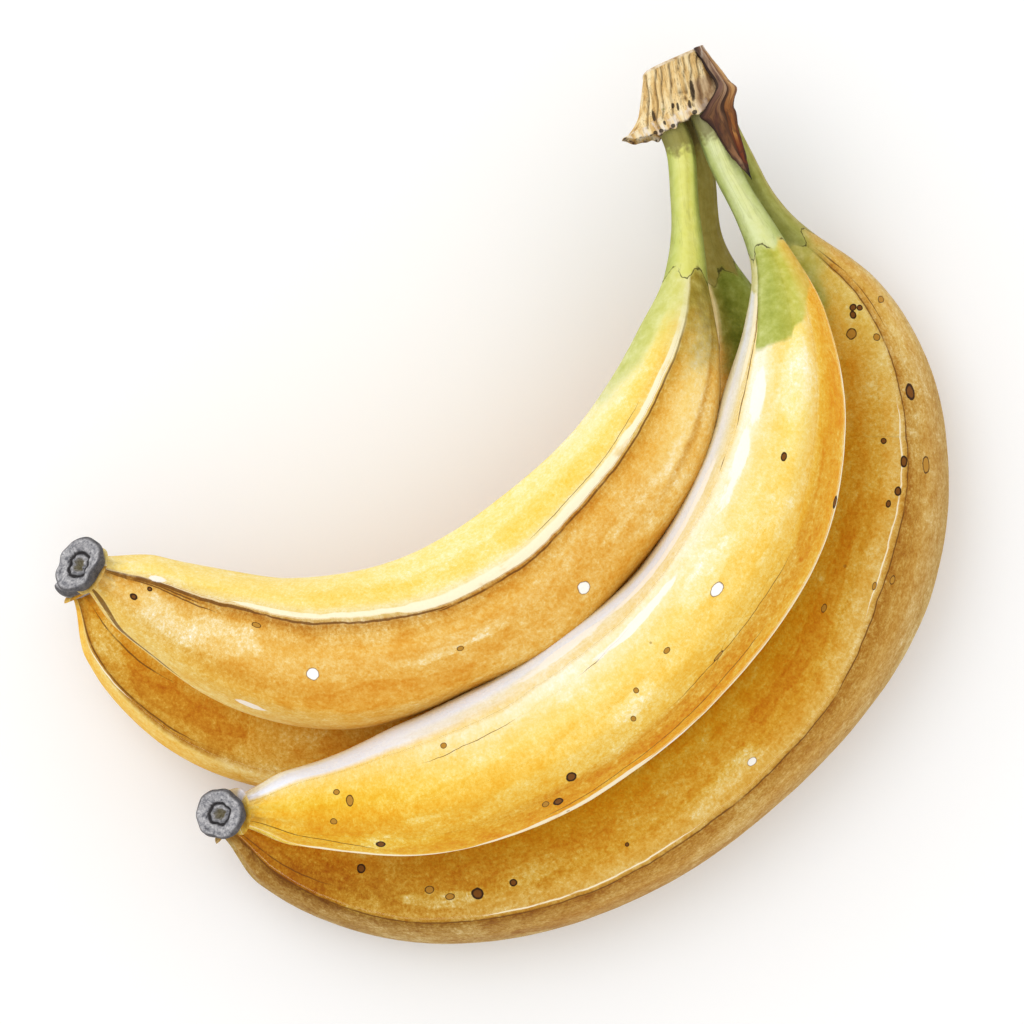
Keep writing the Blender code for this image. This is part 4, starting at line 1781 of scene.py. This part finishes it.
@dataclass(frozen=True)
class DriedBract:
    """The papery, fibrous finish of the dried bract, with a colour for each side of its fold; the darker
    left side is partly painted shade beside the crown.
    """

    name: str = "dried_bract_skin"
    left: tuple[Band, ...] = (
        (0.15, "4a2f22"), (0.38, "714f3e"), (0.55, "8d6948"), (0.75, "a58264"), (0.92, "c4a78c"),
    )
    right: tuple[Band, ...] = (
        (0.15, "5d3a20"), (0.38, "916238"), (0.55, "ab7a45"), (0.75, "c4975c"), (0.92, "dcb884"),
    )

    def make(self, effects: Effects) -> bpy.types.Material:
        """Return the finish. Straight coordinates are the drop and the way across the fold.

        Args:
            effects: The shared node groups.

        Returns:
            The material.
        """
        finish = Finish(self.name)
        w = finish.wiring
        where = w.vector("MULTIPLY", finish.where, (1.0, 1.0, 0.0))
        fibres = w.group(effects.fibres, Where=where, Pitch=700.0)
        mottle = w.noise(w.stretched(where, 0.3, 1.0), 800.0, 3.0, 0.6)
        level = w.times(fibres.outputs["Streak"], 0.6)
        level = w.plus(level, w.times(mottle, 0.4))
        left, right = w.ramp(level, self.left), w.ramp(level, self.right)
        # The darker left side is partly painted shade beside the crown.
        colour = w.mix(w.smooth(finish.side, -0.0003, 0.0003), left, right)
        down = w.times(finish.along, 1.0 / SCALE_LENGTH)
        red = w.times(w.smooth(down, 0.60, 0.78), w.smooth(finish.side, -0.0002, 0.0004))
        colour = w.paint(colour, red, 0.75, "7c3418")
        density = w.plus(0.85, w.times(w.smooth(down, 0.30, 0.55), 0.55))
        colour = w.vector("POWER", colour, w.combine(density))
        # Painted shade: a dark line along the fold's crease, from a little below the top.
        fold = w.fade(w.math("ABSOLUTE", finish.side), 0.0001, 0.00055)
        fold = w.times(fold, w.smooth(down, 0.10, 0.35))
        colour = w.paint(colour, fold, 0.85, "2e1c14")
        # Painted shadow of the crown's edge: near black on the far left of the bract's upper part.
        far = w.fade(finish.side, -0.0042, -0.0018)
        crown_shadow = w.times(far, w.fade(down, 0.36, 0.46))
        colour = w.paint(colour, crown_shadow, 0.9, "261914")
        point = w.smooth(w.plus(down, w.scale(mottle, -0.06, 0.06)), 0.84, 0.95)
        colour = w.mix(point, colour, linear("241c1a"))
        pale = w.fade(down, 0.02, 0.10)
        pale = w.times(pale, w.smooth(mottle, 0.45, 0.6))
        colour = w.paint(colour, pale, 0.8, "e9dfcf")
        colour = w.paint(colour, fibres.outputs["Groove"], 0.6, "38241a")
        half = w.math("MAXIMUM", w.minus(SCALE_FADE, down), 0.1)
        half = w.times(SCALE_HALF_WIDTH, half)
        across = w.minus(SCALE_VALLEY, w.math("DIVIDE", finish.side, half))
        across = w.math("ABSOLUTE", across)
        outline = w.smooth(w.plus(across, w.scale(mottle, -0.10, 0.10)), 0.84, 0.96)
        colour = w.paint(colour, outline, 0.8, "2a1a14")
        return finish.complete(colour, 0.7, level, 0.0005, 0.25)


@dataclass
class Bract:
    """The dried bract: a folded, pointed scale that hangs from the crown over two stalks.

    A row is a share of the crown's length or of the drop along the stalks, and the angles
    of the scale's left and right edges there. Each row has its place down the scale.
    """

    drop: float = 0.0213
    thickness: float = 0.0006
    clearance: float = 0.0001
    mean_radius: float = 0.009
    columns: int = 36
    rows: int = 90
    crown_rows: tuple[tuple[float, float, float], ...] = (
        (1.0, 50, 10), (0.75, 52, -4), (0.45, 53, -8), (0.2, 53, -8), (0.0, 66, 4),
    )
    stalk_rows: tuple[tuple[float, float, float], ...] = (
        (0.2, 104, 40), (0.42, 97, 60), (0.66, 92, 72), (0.85, 86.5, 79.5), (1.0, 83.2, 83.0),
    )
    row_places: tuple[float, ...] = (
        0.0, 0.09, 0.20, 0.29, 0.37, 0.49, 0.63, 0.78, 0.90, 1.0,
    )

    def build(
        self, form: BunchForm, offset: np.ndarray, stalk_c: Route, stalk_d: Route,
    ) -> bpy.types.Object:
        """Model the scale flat, then wrap it round the crown's corner and the stalks.

        Args:
            form: The bunch's sizes.
            offset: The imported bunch's move in plan.
            stalk_c: Route of the upper stalk under it.
            stalk_d: Route of the lower stalk under it.

        Returns:
            The finished mesh.
        """
        deselect()
        bpy.ops.mesh.primitive_grid_add(
            x_subdivisions=self.rows, y_subdivisions=self.columns, size=2.0,
        )
        piece = bpy.context.object
        piece.name = piece.data.name = "dried_scale"
        points = read_points(piece)
        down = (points[:, 0] + 1.0) / 2.0
        across = points[:, 1]
        table = [self._crown_row(form, *row) for row in self.crown_rows]
        table += [self._stalk_row(form, stalk_c, stalk_d, *row) for row in self.stalk_rows]
        knots = np.array(self.row_places)
        read = [even_spline(knots, column, down) for column in np.array(table).T]
        middle_x, middle_y, height, width, depth, left, right = read
        ragged = 1.0 + 0.05 * np.sin(down * 38.0 + 1.0) * (1.0 - down)
        angle = np.radians((left + right) / 2.0 + across * ragged * (left - right) / 2.0)
        side = squared(np.cos(angle)) * width
        up = squared(np.sin(angle)) * depth
        fold = np.minimum(np.sqrt((across - SCALE_VALLEY) ** 2 + 0.01) * 1.5, 1.0)
        fold = 0.0009 * fold * ease(down / 0.25) * (1.0 - 0.85 * down)
        crinkle = 0.00016 * np.sin(across * 17.0 + 3.0 * np.sin(down * 7.0)) * (1.0 - 0.6 * down)
        out = 1.0 + (fold + crinkle) / self.mean_radius
        plan = np.column_stack((middle_x, middle_y)) + offset + np.outer(side * out, form.across)
        half = SCALE_HALF_WIDTH * np.clip(SCALE_FADE - down, 0.1, 1.0)
        straight = np.column_stack((down * SCALE_LENGTH, (SCALE_VALLEY - across) * half, fold))
        store(piece, "straight", straight)
        write_points(piece, np.column_stack((plan, height + up * out)))
        normal = sum((polygon.normal for polygon in piece.data.polygons), Vector())
        if normal.z < 0.0:
            piece.data.flip_normals()
        body = piece.vertex_groups.new(name="body")
        for index, share in enumerate(1.0 - 0.9 * ease((down - 0.86) / 0.12)):
            body.add([index], float(share), "REPLACE")
        apply_modifier(
            piece, "SOLIDIFY", thickness=self.thickness, offset=1.0, vertex_group=body.name,
        )
        piece.data.shade_smooth()
        return piece

    def _crown_row(
        self, form: BunchForm, share: float, left: float, right: float,
    ) -> tuple[float, ...]:
        """Lay one row of the scale on the crown.

        Args:
            form: The bunch's sizes.
            share: The row's place on the crown, from its base (0) to its cut face (1).
            left: The angle of the scale's left edge.
            right: The angle of its right edge.

        Returns:
            The row's middle, its half width and half depth, and its angles.
        """
        width, depth = (size + self.clearance for size in form.crown_section(share))
        return (*form.crown_middle(share), form.crown_height, width, depth, left, right)

    def _stalk_row(
        self, form: BunchForm, stalk_c: Route, stalk_d: Route,
        share: float, left: float, right: float,
    ) -> tuple[float, ...]:
        """Lay one row of the scale round two stalks.

        Args:
            form: The bunch's sizes.
            stalk_c: Route of the upper stalk.
            stalk_d: Route of the lower stalk.
            share: The row's place along the stalks, as a share of the drop.
            left: The angle of the scale's left edge.
            right: The angle of its right edge.

        Returns:
            The row's middle, its half width and half depth, and its angles.
        """
        place = share * self.drop
        upper, lower = (
            np.array([np.interp(place, stalk.places, way) for way in stalk.spine.T])
            for stalk in (stalk_c, stalk_d)
        )
        spread = np.abs(lower - upper) / 2.0
        margin = form.stalk_width * 0.46 + self.clearance
        width, depth = np.linalg.norm(spread[:2]) + margin, spread[2] + margin
        return (*((upper + lower) / 2.0), width, depth, left, right)


# The studio


@dataclass
class Studio:
    """A pale floor, soft even light and a camera straight above."""

    floor_colour: str = "fdfdfd"
    floor_size: float = 6.0
    even_strength: float = 0.94
    key_place: tuple[float, float, float] = (-0.7, 0.6, 1.3)
    key_width: float = 1.2
    key_power: float = 5.5
    camera_place: tuple[float, float, float] = (0.0027, -0.0034, 1.045)
    lens: float = 150.0

    def build(self) -> None:
        """Set up the floor, the light and the camera."""
        deselect()
        bpy.ops.mesh.primitive_plane_add(size=self.floor_size)
        floor = bpy.context.object
        floor.name = "floor"
        paint = bpy.data.materials.new("floor_paint")
        paint.use_nodes = True
        shader = paint.node_tree.nodes["Principled BSDF"]
        shader.inputs["Base Color"].default_value = linear(self.floor_colour)
        shader.inputs["Roughness"].default_value = 0.9
        shader.inputs["Specular IOR Level"].default_value = 0.1
        floor.data.materials.append(paint)
        world = bpy.data.worlds.new("even_light")
        world.use_nodes = True
        background = world.node_tree.nodes["Background"]
        background.inputs["Color"].default_value = (1.0, 1.0, 1.0, 1.0)
        background.inputs["Strength"].default_value = self.even_strength
        bpy.context.scene.world = world
        light = bpy.data.lights.new("soft_key", "AREA")
        light.shape = "DISK"
        light.size = self.key_width
        light.energy = self.key_power
        key = bpy.data.objects.new("soft_key", light)
        key.location = self.key_place
        key.rotation_euler = (-Vector(key.location)).to_track_quat("-Z", "Y").to_euler()
        bpy.context.scene.collection.objects.link(key)
        camera = bpy.data.cameras.new("camera")
        camera.lens = self.lens
        camera.sensor_width = 36.0
        eye = bpy.data.objects.new("camera", camera)
        eye.location = self.camera_place
        bpy.context.scene.collection.objects.link(eye)
        bpy.context.scene.camera = eye
        bpy.context.scene.view_settings.view_transform = "Standard"


# The bunch

STALK_PALE = (
    (-180, "8d9150"), (-110, "9da258"), (-70, "8f9448"), (-45, "c3c866"), (-20, "d8d570"), (15, "dcdc7c"),
    (45, "c4cc70"), (80, "a5ac5c"), (180, "8d9150"),
)
STALK_DARK = (
    (-180, "7a7638"), (-60, "908438"), (0, "9c8c44"), (60, "a3964a"), (120, "8a8040"), (180, "7a7638"),
)

# A's bands are partly painted light and shade: paler yellow where the upper facets face the light and
# ochre where the lower facets turn away, and the belly stop at -112 degrees is lightened against the
# shadow between A and C.
PEEL_A = Peel(
    name="peel_pale_gold",
    neck=(
        (-180, "d9a94e"), (-105, "ecc06a"), (-66, "eabc60"), (-61, "cf9a42"), (-57, "f5d483"),
        (-42, "f7da8c"), (-30, "f2ca70"), (-20, "e6b85a"), (-11, "d2a446"), (-5, "f2d886"), (4, "f4d272"),
        (14, "f6da78"), (24, "f7de7e"), (34, "f9e9a0"), (50, "fbf1c0"), (75, "efe7ae"), (180, "d9a94e"),
    ),
    belly=(
        (-180, "e0b058"), (-112, "f4c468"), (-80, "e8b856"), (-60, "e8b75a"), (-46, "e6b354"),
        (-34, "ebbb60"), (-24, "eebf62"), (-14, "e0ab4c"), (-6, "c28a36"), (-1, "e6cf90"), (6, "f5e6ae"),
        (12, "f8dd80"), (24, "f6d86c"), (38, "fae38c"), (68, "fae898"), (180, "d9a24a"),
    ),
    tip=(
        (-180, "c08c34"), (-122, "eccb70"), (-78, "eac362"), (-57, "dcab4a"), (-44, "e7b75a"),
        (-30, "eabe62"), (-14, "dca648"), (-4, "b8802c"), (4, "f0d68a"), (16, "fae28a"), (58, "f7e092"),
        (180, "c08c34"),
    ),
    stalk=STALK_PALE,
    green=(
        (-180, "8a8434"), (-80, "7d742a"), (-40, "8c7c2a"), (-12, "9c8a34"), (-6, "e6dea2"), (4, "dcd98c"),
        (24, "d6d680"), (60, "c8cc74"), (180, "8a8434"),
    ),
    green_reach=(
        (-180, 0.20), (-70, 0.235), (-12, 0.24), (-6, 0.24), (6, 0.235), (26, 0.235), (44, 0.30),
        (60, 0.32), (180, 0.19),
    ),
    green_edge=0.055,
    freckles=(Mark(0.96, -34, 1.5, 0.9), Mark(0.947, -13, 0.8, 0.6)),
    rings=(Mark(0.61, -42, 0.7, 0.6), Mark(0.812, -13, 1.2, 0.6)),
    pale_spots=(Mark(0.748, -43, 1.35, 1.45), Mark(0.485, -58, 1.5, 1.5)),
    ink_and_shade=(
        Stroke(0.17, 0.62, -9, -7, 0.45), Stroke(0.59, 0.82, -6, -3, 0.5), Stroke(0.80, 1.0, -4, -2, 0.8),
        Stroke(0.30, 0.50, 8, 7, 0.16), Stroke(0.86, 1.0, -114, -100, 1.5),
        Stroke(0.86, 1.0, -12, -6, 0.3), Stroke(0.88, 0.99, -8, -4, 0.35),
    ),
    highlight_strokes=(Stroke(0.16, 0.36, -4, -1, 1.4), Stroke(0.32, 0.66, 0, 0, 2.3), Stroke(0.62, 0.86, 1, 2, 1.3)),
    highlights=(Mark(0.80, -87, 3.4, 1.5), Mark(0.945, 5, 4.0, 0.9)),
    washes=(Mark(0.875, -38, 19.0, 5.4), Mark(0.40, -48, 22.0, 2.4), Mark(0.60, -40, 22.0, 2.2)),
    glazes=(Mark(0.60, -22, 20.0, 2.6), Mark(0.68, -62, 26.0, 3.6), Mark(0.46, -82, 40.0, 5.0)),
    seed=0.0,
)
# B's deep gold is partly painted shade, as it lies under A; its belly stops from 60 to 100 degrees are
# lightened against the shadow in the gap between A and C.
PEEL_B = Peel(
    name="peel_deep_gold",
    neck=(
        (-180, "b8842e"), (-60, "c99432"), (-30, "d9a13c"), (0, "e2b256"), (40, "dba447"), (62, "d8a848"),
        (80, "e6b858"), (92, "f6dfa0"), (104, "ecc878"), (130, "d9a94a"), (180, "b8842e"),
    ),
    belly=(
        (-180, "a87422"), (-60, "c4882a"), (-30, "d0983a"), (0, "dfb050"), (12, "d69c36"), (36, "dc9e30"),
        (60, "e2a834"), (100, "e8b03a"), (130, "e4aa42"), (180, "a87422"),
    ),
    tip=(
        (-180, "9a7430"), (-60, "e8b640"), (-30, "f0c04c"), (-8, "f2ca66"), (-2, "f2d684"), (4, "b8862e"),
        (12, "d2a13c"), (40, "d69c2c"), (60, "dca030"), (76, "ecb440"), (100, "e6ac3c"), (180, "9a7430"),
    ),
    stalk=STALK_DARK,
    green=(
        (-180, "7d7a30"), (-40, "8f9c46"), (20, "87963a"), (56, "74842c"), (78, "8a8c38"), (90, "e6d596"),
        (102, "c4ae58"), (130, "a8963c"), (180, "7d7a30"),
    ),
    green_reach=((-180, 0.19), (-40, 0.22), (60, 0.23), (80, 0.20), (100, 0.17), (180, 0.19)),
    green_edge=0.03,
    ink_and_shade=(
        Stroke(0.84, 1.0, 10, 3, 0.4), Stroke(0.13, 0.40, 86, 84, 0.25), Stroke(0.13, 0.36, 98, 100, 0.25),
        Stroke(0.88, 0.99, 58, 44, 0.35),
    ),
    highlight_strokes=(Stroke(0.90, 0.97, 5, -2, 0.35), Stroke(0.14, 0.45, 92, 91, 1.4)),
    washes=(Mark(0.965, 34, 9.0, 3.0),),
    glazes=(Mark(0.87, 36, 15.0, 3.4),),
    seed=1.7,
)
# C's bands carry painted light and shade: the near-white strips from about 44 to 94 degrees are a painted
# highlight, cooled to bluish white against the orange light bounced from A, and the side turns gold and
# orange towards its outer edge as painted shade.
PEEL_C = Peel(
    name="peel_bright_gold",
    neck=(
        (-180, "c8952f"), (-75, "b0883c"), (-68, "f6cc64"), (-62, "f9dc90"), (-56, "f0b63c"),
        (-34, "edb840"), (-20, "f0c450"), (-13, "f4d27c"), (-2, "f8e290"), (10, "fae48c"), (24, "fae090"),
        (36, "fbe7ac"), (44, "fdf3d6"), (54, "fdf4dc"), (58, "f6dfa0"), (66, "efe2b6"), (72, "eeeada"),
        (84, "eef0f4"), (94, "e8e4c6"), (105, "e0d6ae"), (180, "c8952f"),
    ),
    belly=(
        (-180, "c8952f"), (-78, "c4983c"), (-70, "f4d888"), (-60, "fae09c"), (-55, "f0b432"),
        (-40, "e1a128"), (-26, "dfa432"), (-19, "eec04e"), (-8, "f2c656"), (4, "f6d26a"), (16, "f8d776"),
        (26, "fae08a"), (38, "fbe39a"), (46, "fcebb4"), (56, "fbeec6"), (60, "f3dca0"), (72, "f3e8c0"),
        (78, "eef2fa"), (88, "eef2fb"), (94, "ece6c8"), (104, "e8dcae"), (180, "c8952f"),
    ),
    tip=(
        (-180, "b07c22"), (-80, "a8761c"), (-64, "f4cc48"), (-50, "e8b02c"), (-34, "ecb832"),
        (-14, "edba40"), (6, "f0c144"), (20, "f3cb4c"), (32, "f5cf58"), (44, "f8d56c"), (60, "f9de90"),
        (67, "f2f4fc"), (90, "f0f3fc"), (104, "efe6cc"), (180, "b07c22"),
    ),
    stalk=(
        (-180, "8f9248"), (-80, "8f9650"), (-52, "9fa85c"), (-20, "c4cc84"), (10, "d9dd9a"),
        (40, "d8dfa4"), (70, "b4be74"), (100, "8f9c50"), (180, "8f9248"),
    ),
    green=(
        (-180, "a8a848"), (-60, "cba63c"), (-34, "d8b448"), (-14, "d6c65c"), (-2, "c4c256"), (8, "bcba50"),
        (14, "b0b24c"), (30, "a6ae48"), (54, "b0b856"), (60, "8e9446"), (64, "e6e0a4"), (76, "d6cf86"),
        (180, "a8a848"),
    ),
    green_reach=(
        (-180, 0.17), (-60, 0.185), (-20, 0.215), (-4, 0.228), (8, 0.238), (12, 0.248), (34, 0.254),
        (56, 0.262), (62, 0.20), (180, 0.17),
    ),
    green_edge=0.004,
    tip_shade="9a6c24",
    freckles=(
        Mark(0.35, 11, 1.1, 0.7), Mark(0.692, -19, 1.2, 1.4), Mark(0.712, -38, 1.1, 1.2),
        Mark(0.867, -37, 1.2, 1.1), Mark(0.375, -56, 1.3, 0.9),
    ),
    rings=(
        Mark(0.557, 16, 0.9, 0.6), Mark(0.53, -21, 1.5, 0.5), Mark(0.62, -6, 0.6, 0.8),
        Mark(0.602, 10, 0.6, 0.7), Mark(0.722, -34, 0.8, 0.9), Mark(0.787, 52, 0.8, 0.7),
        Mark(0.897, 22, 1.0, 1.3), Mark(0.915, -3, 0.9, 0.8), Mark(0.91, 35, 0.9, 0.7),
    ),
    pale_spots=(Mark(0.485, 16, 2.0, 1.2),),
    ink_and_shade=(
        Stroke(0.15, 0.34, 61, 58, 0.28), Stroke(0.55, 0.64, 52, 47, 0.18),
        Stroke(0.70, 0.82, 48, 44, 0.16), Stroke(0.155, 0.25, 10, 12, 0.18),
        Stroke(0.22, 0.93, -68, -66, 0.45), Stroke(0.42, 0.60, -22, -21, 0.2),
        Stroke(0.48, 0.74, -42, -50, 0.25), Stroke(0.86, 1.0, -50, -20, 0.25),
        Stroke(0.515, 0.545, -15, -28, 0.5), Stroke(0.355, 0.385, 61, 59, 0.6),
        Stroke(0.62, 0.92, -70, -70, 0.7),
    ),
    highlight_strokes=(
        Stroke(0.25, 0.95, -61, -60, 1.5), Stroke(0.16, 0.30, 66, 66, 1.4),
        Stroke(0.62, 0.80, -56, -58, 1.6),
    ),
    highlights=(
        Mark(0.30, 44, 12.0, 2.0), Mark(0.36, 47, 20.0, 1.7), Mark(0.56, 50, 17.0, 1.2),
        Mark(0.61, -62, 6.0, 1.2), Mark(0.46, 74, 46.0, 1.3), Mark(0.62, 74, 20.0, 1.6),
    ),
    washes=(
        Mark(0.865, -34, 6.0, 2.6), Mark(0.28, 6, 12.0, 3.2), Mark(0.61, 4, 9.0, 3.0),
        Mark(0.47, 30, 16.0, 3.0),
    ),
    glazes=(
        Mark(0.34, -36, 26.0, 4.2), Mark(0.60, -34, 30.0, 3.8), Mark(0.70, 28, 9.5, 5.5),
        Mark(0.79, 8, 20.0, 5.5), Mark(0.43, 4, 5.0, 1.4), Mark(0.90, 0, 10.0, 4.5),
    ),
    seed=3.1,
)
# D's ochre is partly painted shade, as it lies behind C; its belly stops from 60 to 118 degrees are
# lightened against the shadow that C casts.
PEEL_D = Peel(
    name="peel_ochre",
    neck=(
        (-180, "b98a35"), (-62, "d0b070"), (-50, "dcb868"), (-38, "dab060"), (-24, "dcb45c"),
        (-8, "d2a44c"), (-1, "bd8e40"), (4, "e8cc74"), (14, "e8ca6c"), (26, "ecca66"), (45, "f2c85c"),
        (80, "f6c04c"), (118, "c88c2c"), (180, "b98a35"),
    ),
    belly=(
        (-180, "b98a35"), (-66, "c2a05c"), (-46, "c8a058"), (-24, "cb9e4c"), (-8, "bf8f3a"),
        (-1, "b07c2c"), (4, "dfb65c"), (14, "e2b24c"), (24, "dea834"), (40, "dfa228"), (60, "eaae24"),
        (90, "f2b62c"), (118, "e6a62a"), (180, "b98a35"),
    ),
    tip=(
        (-180, "a87e34"), (-66, "b0904e"), (-46, "b48e48"), (-30, "b08842"), (-12, "a67c36"),
        (-2, "8e6218"), (4, "c48e28"), (18, "c08820"), (34, "c68c22"), (56, "d29626"), (80, "e8ac38"),
        (118, "e0a434"), (180, "a87e34"),
    ),
    stalk=(
        (-180, "6f6f34"), (-90, "8a8244"), (-60, "b0a458"), (-20, "a3a250"), (30, "8b8f46"),
        (80, "868c40"), (120, "7e8339"), (180, "6f6f34"),
    ),
    green=(
        (-180, "a09a4c"), (-70, "b8a45c"), (-30, "b6a858"), (0, "b0ac54"), (20, "c8c264"), (50, "b4b458"),
        (80, "98a344"), (180, "a09a4c"),
    ),
    green_reach=(
        (-180, 0.13), (-60, 0.13), (-4, 0.14), (12, 0.15), (30, 0.16), (50, 0.18), (80, 0.21), (180, 0.13),
    ),
    green_edge=0.022,
    neck_ends=(0.19, 0.30),
    freckles=(
        Mark(0.262, -12, 2.0, 1.5), Mark(0.32, 3, 1.4, 0.8), Mark(0.342, 6, 1.1, 0.8),
        Mark(0.352, 12, 0.9, 0.6), Mark(0.305, 20, 0.8, 0.7), Mark(0.792, 24, 1.4, 1.4),
        Mark(0.765, 27, 0.9, 0.9), Mark(0.887, 51, 1.1, 1.2), Mark(0.678, 22, 0.5, 0.5),
        Mark(0.187, 16, 0.8, 0.9), Mark(0.192, 21, 1.0, 0.8), Mark(0.19, 8, 0.7, 0.7),
    ),
    rings=(
        Mark(0.195, -33, 0.7, 1.3), Mark(0.205, 34, 1.4, 1.3), Mark(0.32, -22, 1.9, 1.3),
        Mark(0.402, -5, 1.0, 0.8), Mark(0.41, 7, 0.9, 0.5), Mark(0.44, 39, 1.2, 0.6),
        Mark(0.817, 24, 1.1, 0.8), Mark(0.832, 32, 1.1, 0.9), Mark(0.215, 6, 0.9, 0.8),
    ),
    pale_spots=(Mark(0.567, 16, 1.2, 0.9),),
    ink_and_shade=(
        Stroke(0.12, 0.50, 0, 0, 0.32), Stroke(0.48, 1.0, 0, 0, 0.4), Stroke(0.13, 0.17, -12, -14, 0.7),
        Stroke(0.16, 0.22, -12, -10, 0.3), Stroke(0.90, 1.0, 22, 12, 0.25),
    ),
    highlight_strokes=(Stroke(0.26, 0.44, 5, 5, 0.3), Stroke(0.62, 0.80, 4, 4, 0.35)),
    washes=(Mark(0.60, 19, 14.0, 3.0), Mark(0.82, 22, 14.0, 1.8)),
    glazes=(
        Mark(0.44, 38, 36.0, 2.6), Mark(0.70, -44, 34.0, 7.0), Mark(0.95, 30, 14.0, 6.5),
        Mark(0.98, 34, 10.0, 5.0),
    ),
    seed=4.9,
)


class BananaBunch:
    """The whole bunch: four fingers, their blossom ends, the crown and the dried bract."""

    def __init__(self) -> None:
        """Set out the fingers."""
        self.form = BunchForm()
        self.fingers = [
            Finger("b", tip_slant=8.0, tip_taper=0.49, route=Route(
                layer=Layer.LOWER, column=-0.25, girth=EVEN_GIRTH, belly=1.03,
                lift=0.003, first_ridge=48.0, twist=0.0,
                points=((0.245, 0.366), (0.252, 0.303), (0.281, 0.238), (0.300, 0.142), (0.281, 0.028),
                 (0.204, -0.081), (0.098, -0.173), (-0.022, -0.247), (-0.143, -0.276),
                 (-0.251, -0.276), (-0.359, -0.249), (-0.443, -0.190), (-0.503, -0.099)),
            ), peel=PEEL_B),
            Finger("d", tip_slant=8.0, tip_taper=0.49, route=Route(
                layer=Layer.LOWER, column=0.75, girth=EVEN_GIRTH, belly=1.05,
                lift=0.003, first_ridge=62.0, twist=-18.0,
                points=((0.292, 0.401), (0.331, 0.333), (0.412, 0.243), (0.452, 0.151), (0.461, 0.066),
                 (0.451, -0.026), (0.402, -0.157), (0.327, -0.256), (0.200, -0.365),
                 (0.056, -0.435), (-0.113, -0.464), (-0.246, -0.436), (-0.332, -0.383)),
                drift=((0.0, 10.0), (0.2, 14.0), (0.3, 15.0), (0.4, 18.0), (0.5, 10.0),
                       (0.6, 8.0), (0.75, 9.0), (0.85, 11.0), (0.92, 17.0), (1.0, 36.0)),
            ), peel=PEEL_D),
            Finger("a", Route(
                layer=Layer.UPPER, column=-0.75, girth=LATE_GIRTH, belly=1.09,
                lift=0.013, first_ridge=96.0, twist=31.0,
                points=((0.219, 0.373), (0.223, 0.303), (0.212, 0.197), (0.158, 0.060), (0.072, -0.038),
                 (-0.023, -0.119), (-0.136, -0.173), (-0.262, -0.175), (-0.381, -0.129),
                 (-0.482, -0.075)),
                drift=((0.0, -10.0), (0.2, -10.0), (0.3, -4.0), (0.4, -8.0), (0.5, -14.0),
                       (0.6, -8.0), (0.7, 0.0), (0.8, 1.0), (0.9, -3.0), (1.0, -6.0)),
                flank=0.40,
            ), PEEL_A),
            Finger("c", Route(
                layer=Layer.UPPER, column=0.25, girth=EVEN_GIRTH, belly=1.00,
                lift=0.015, first_ridge=75.0, twist=0.0,
                points=((0.263, 0.404), (0.289, 0.350), (0.318, 0.290), (0.336, 0.213), (0.336, 0.142),
                 (0.309, 0.0), (0.239, -0.123), (0.140, -0.226), (0.019, -0.303),
                 (-0.115, -0.346), (-0.254, -0.357), (-0.318, -0.360)),
                ridges=6,
                flank=0.20, flank_angle=95.0, flank_reach=62.0, flank_shares=(0.50, 0.64, 0.82, 0.93),
            ), PEEL_C),
        ]
        self.ends = {
            "a": BlossomEnd("a", lobes=2, lobe_depth=0.09, phase=0.4, spike=0.0013, size=1.14),
            "b": BlossomEnd("b", phase=1.0, lobe_depth=0.06, slant=14.0, seat=0.0008),
            "c": BlossomEnd("c", lobes=2, lobe_depth=0.06, phase=3.3, size=1.10),
            "d": BlossomEnd("d", phase=2.1, lobe_depth=0.05, slant=14.0, seat=0.0008),
        }

    def build(self) -> None:
        """Build, dress and place every piece."""
        form = self.form
        offset = row_offset(form)
        effects = Effects()
        traced: list[Route] = []
        for finger in self.fingers:
            finger.route.trace(form, traced, SPINE_STEP)
            traced.append(finger.route)
        cork = Cork().make(effects)
        routes = {finger.letter: finger.route for finger in self.fingers}
        for finger in self.fingers:
            piece = finger.build(form, offset)
            finger.dress(piece, form, effects)
            self._place(piece, finger.node)
            end = self.ends[finger.letter].build(finger.route, offset, form)
            end.data.materials.append(cork)
            self._place(end, "blossom_end_" + finger.letter)
        crown = Crown().build(form, offset)
        crown.data.materials.append(CrownWood().make(effects))
        self._place(crown, "crown")
        bract = Bract().build(form, offset, routes["c"], routes["d"])
        bract.data.materials.append(DriedBract().make(effects))
        self._place(bract, "dried_bract")

    def _place(self, piece: bpy.types.Object, node: str) -> None:
        """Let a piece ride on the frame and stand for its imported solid.

        Args:
            piece: The finished mesh.
            node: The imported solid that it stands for.
        """
        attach(piece, "root")
        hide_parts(node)
        triangles = sum(len(polygon.vertices) - 2 for polygon in piece.data.polygons)
        LOG.info("%s stands for %s, with %d triangles", piece.name, node, triangles)


def main() -> None:
    """Build the bunch and the studio."""
    logging.basicConfig(level=logging.INFO, format="%(name)s: %(message)s")
    BananaBunch().build()
    Studio().build()
    LOG.info("sizes written")


if __name__ == "__main__":
    main()
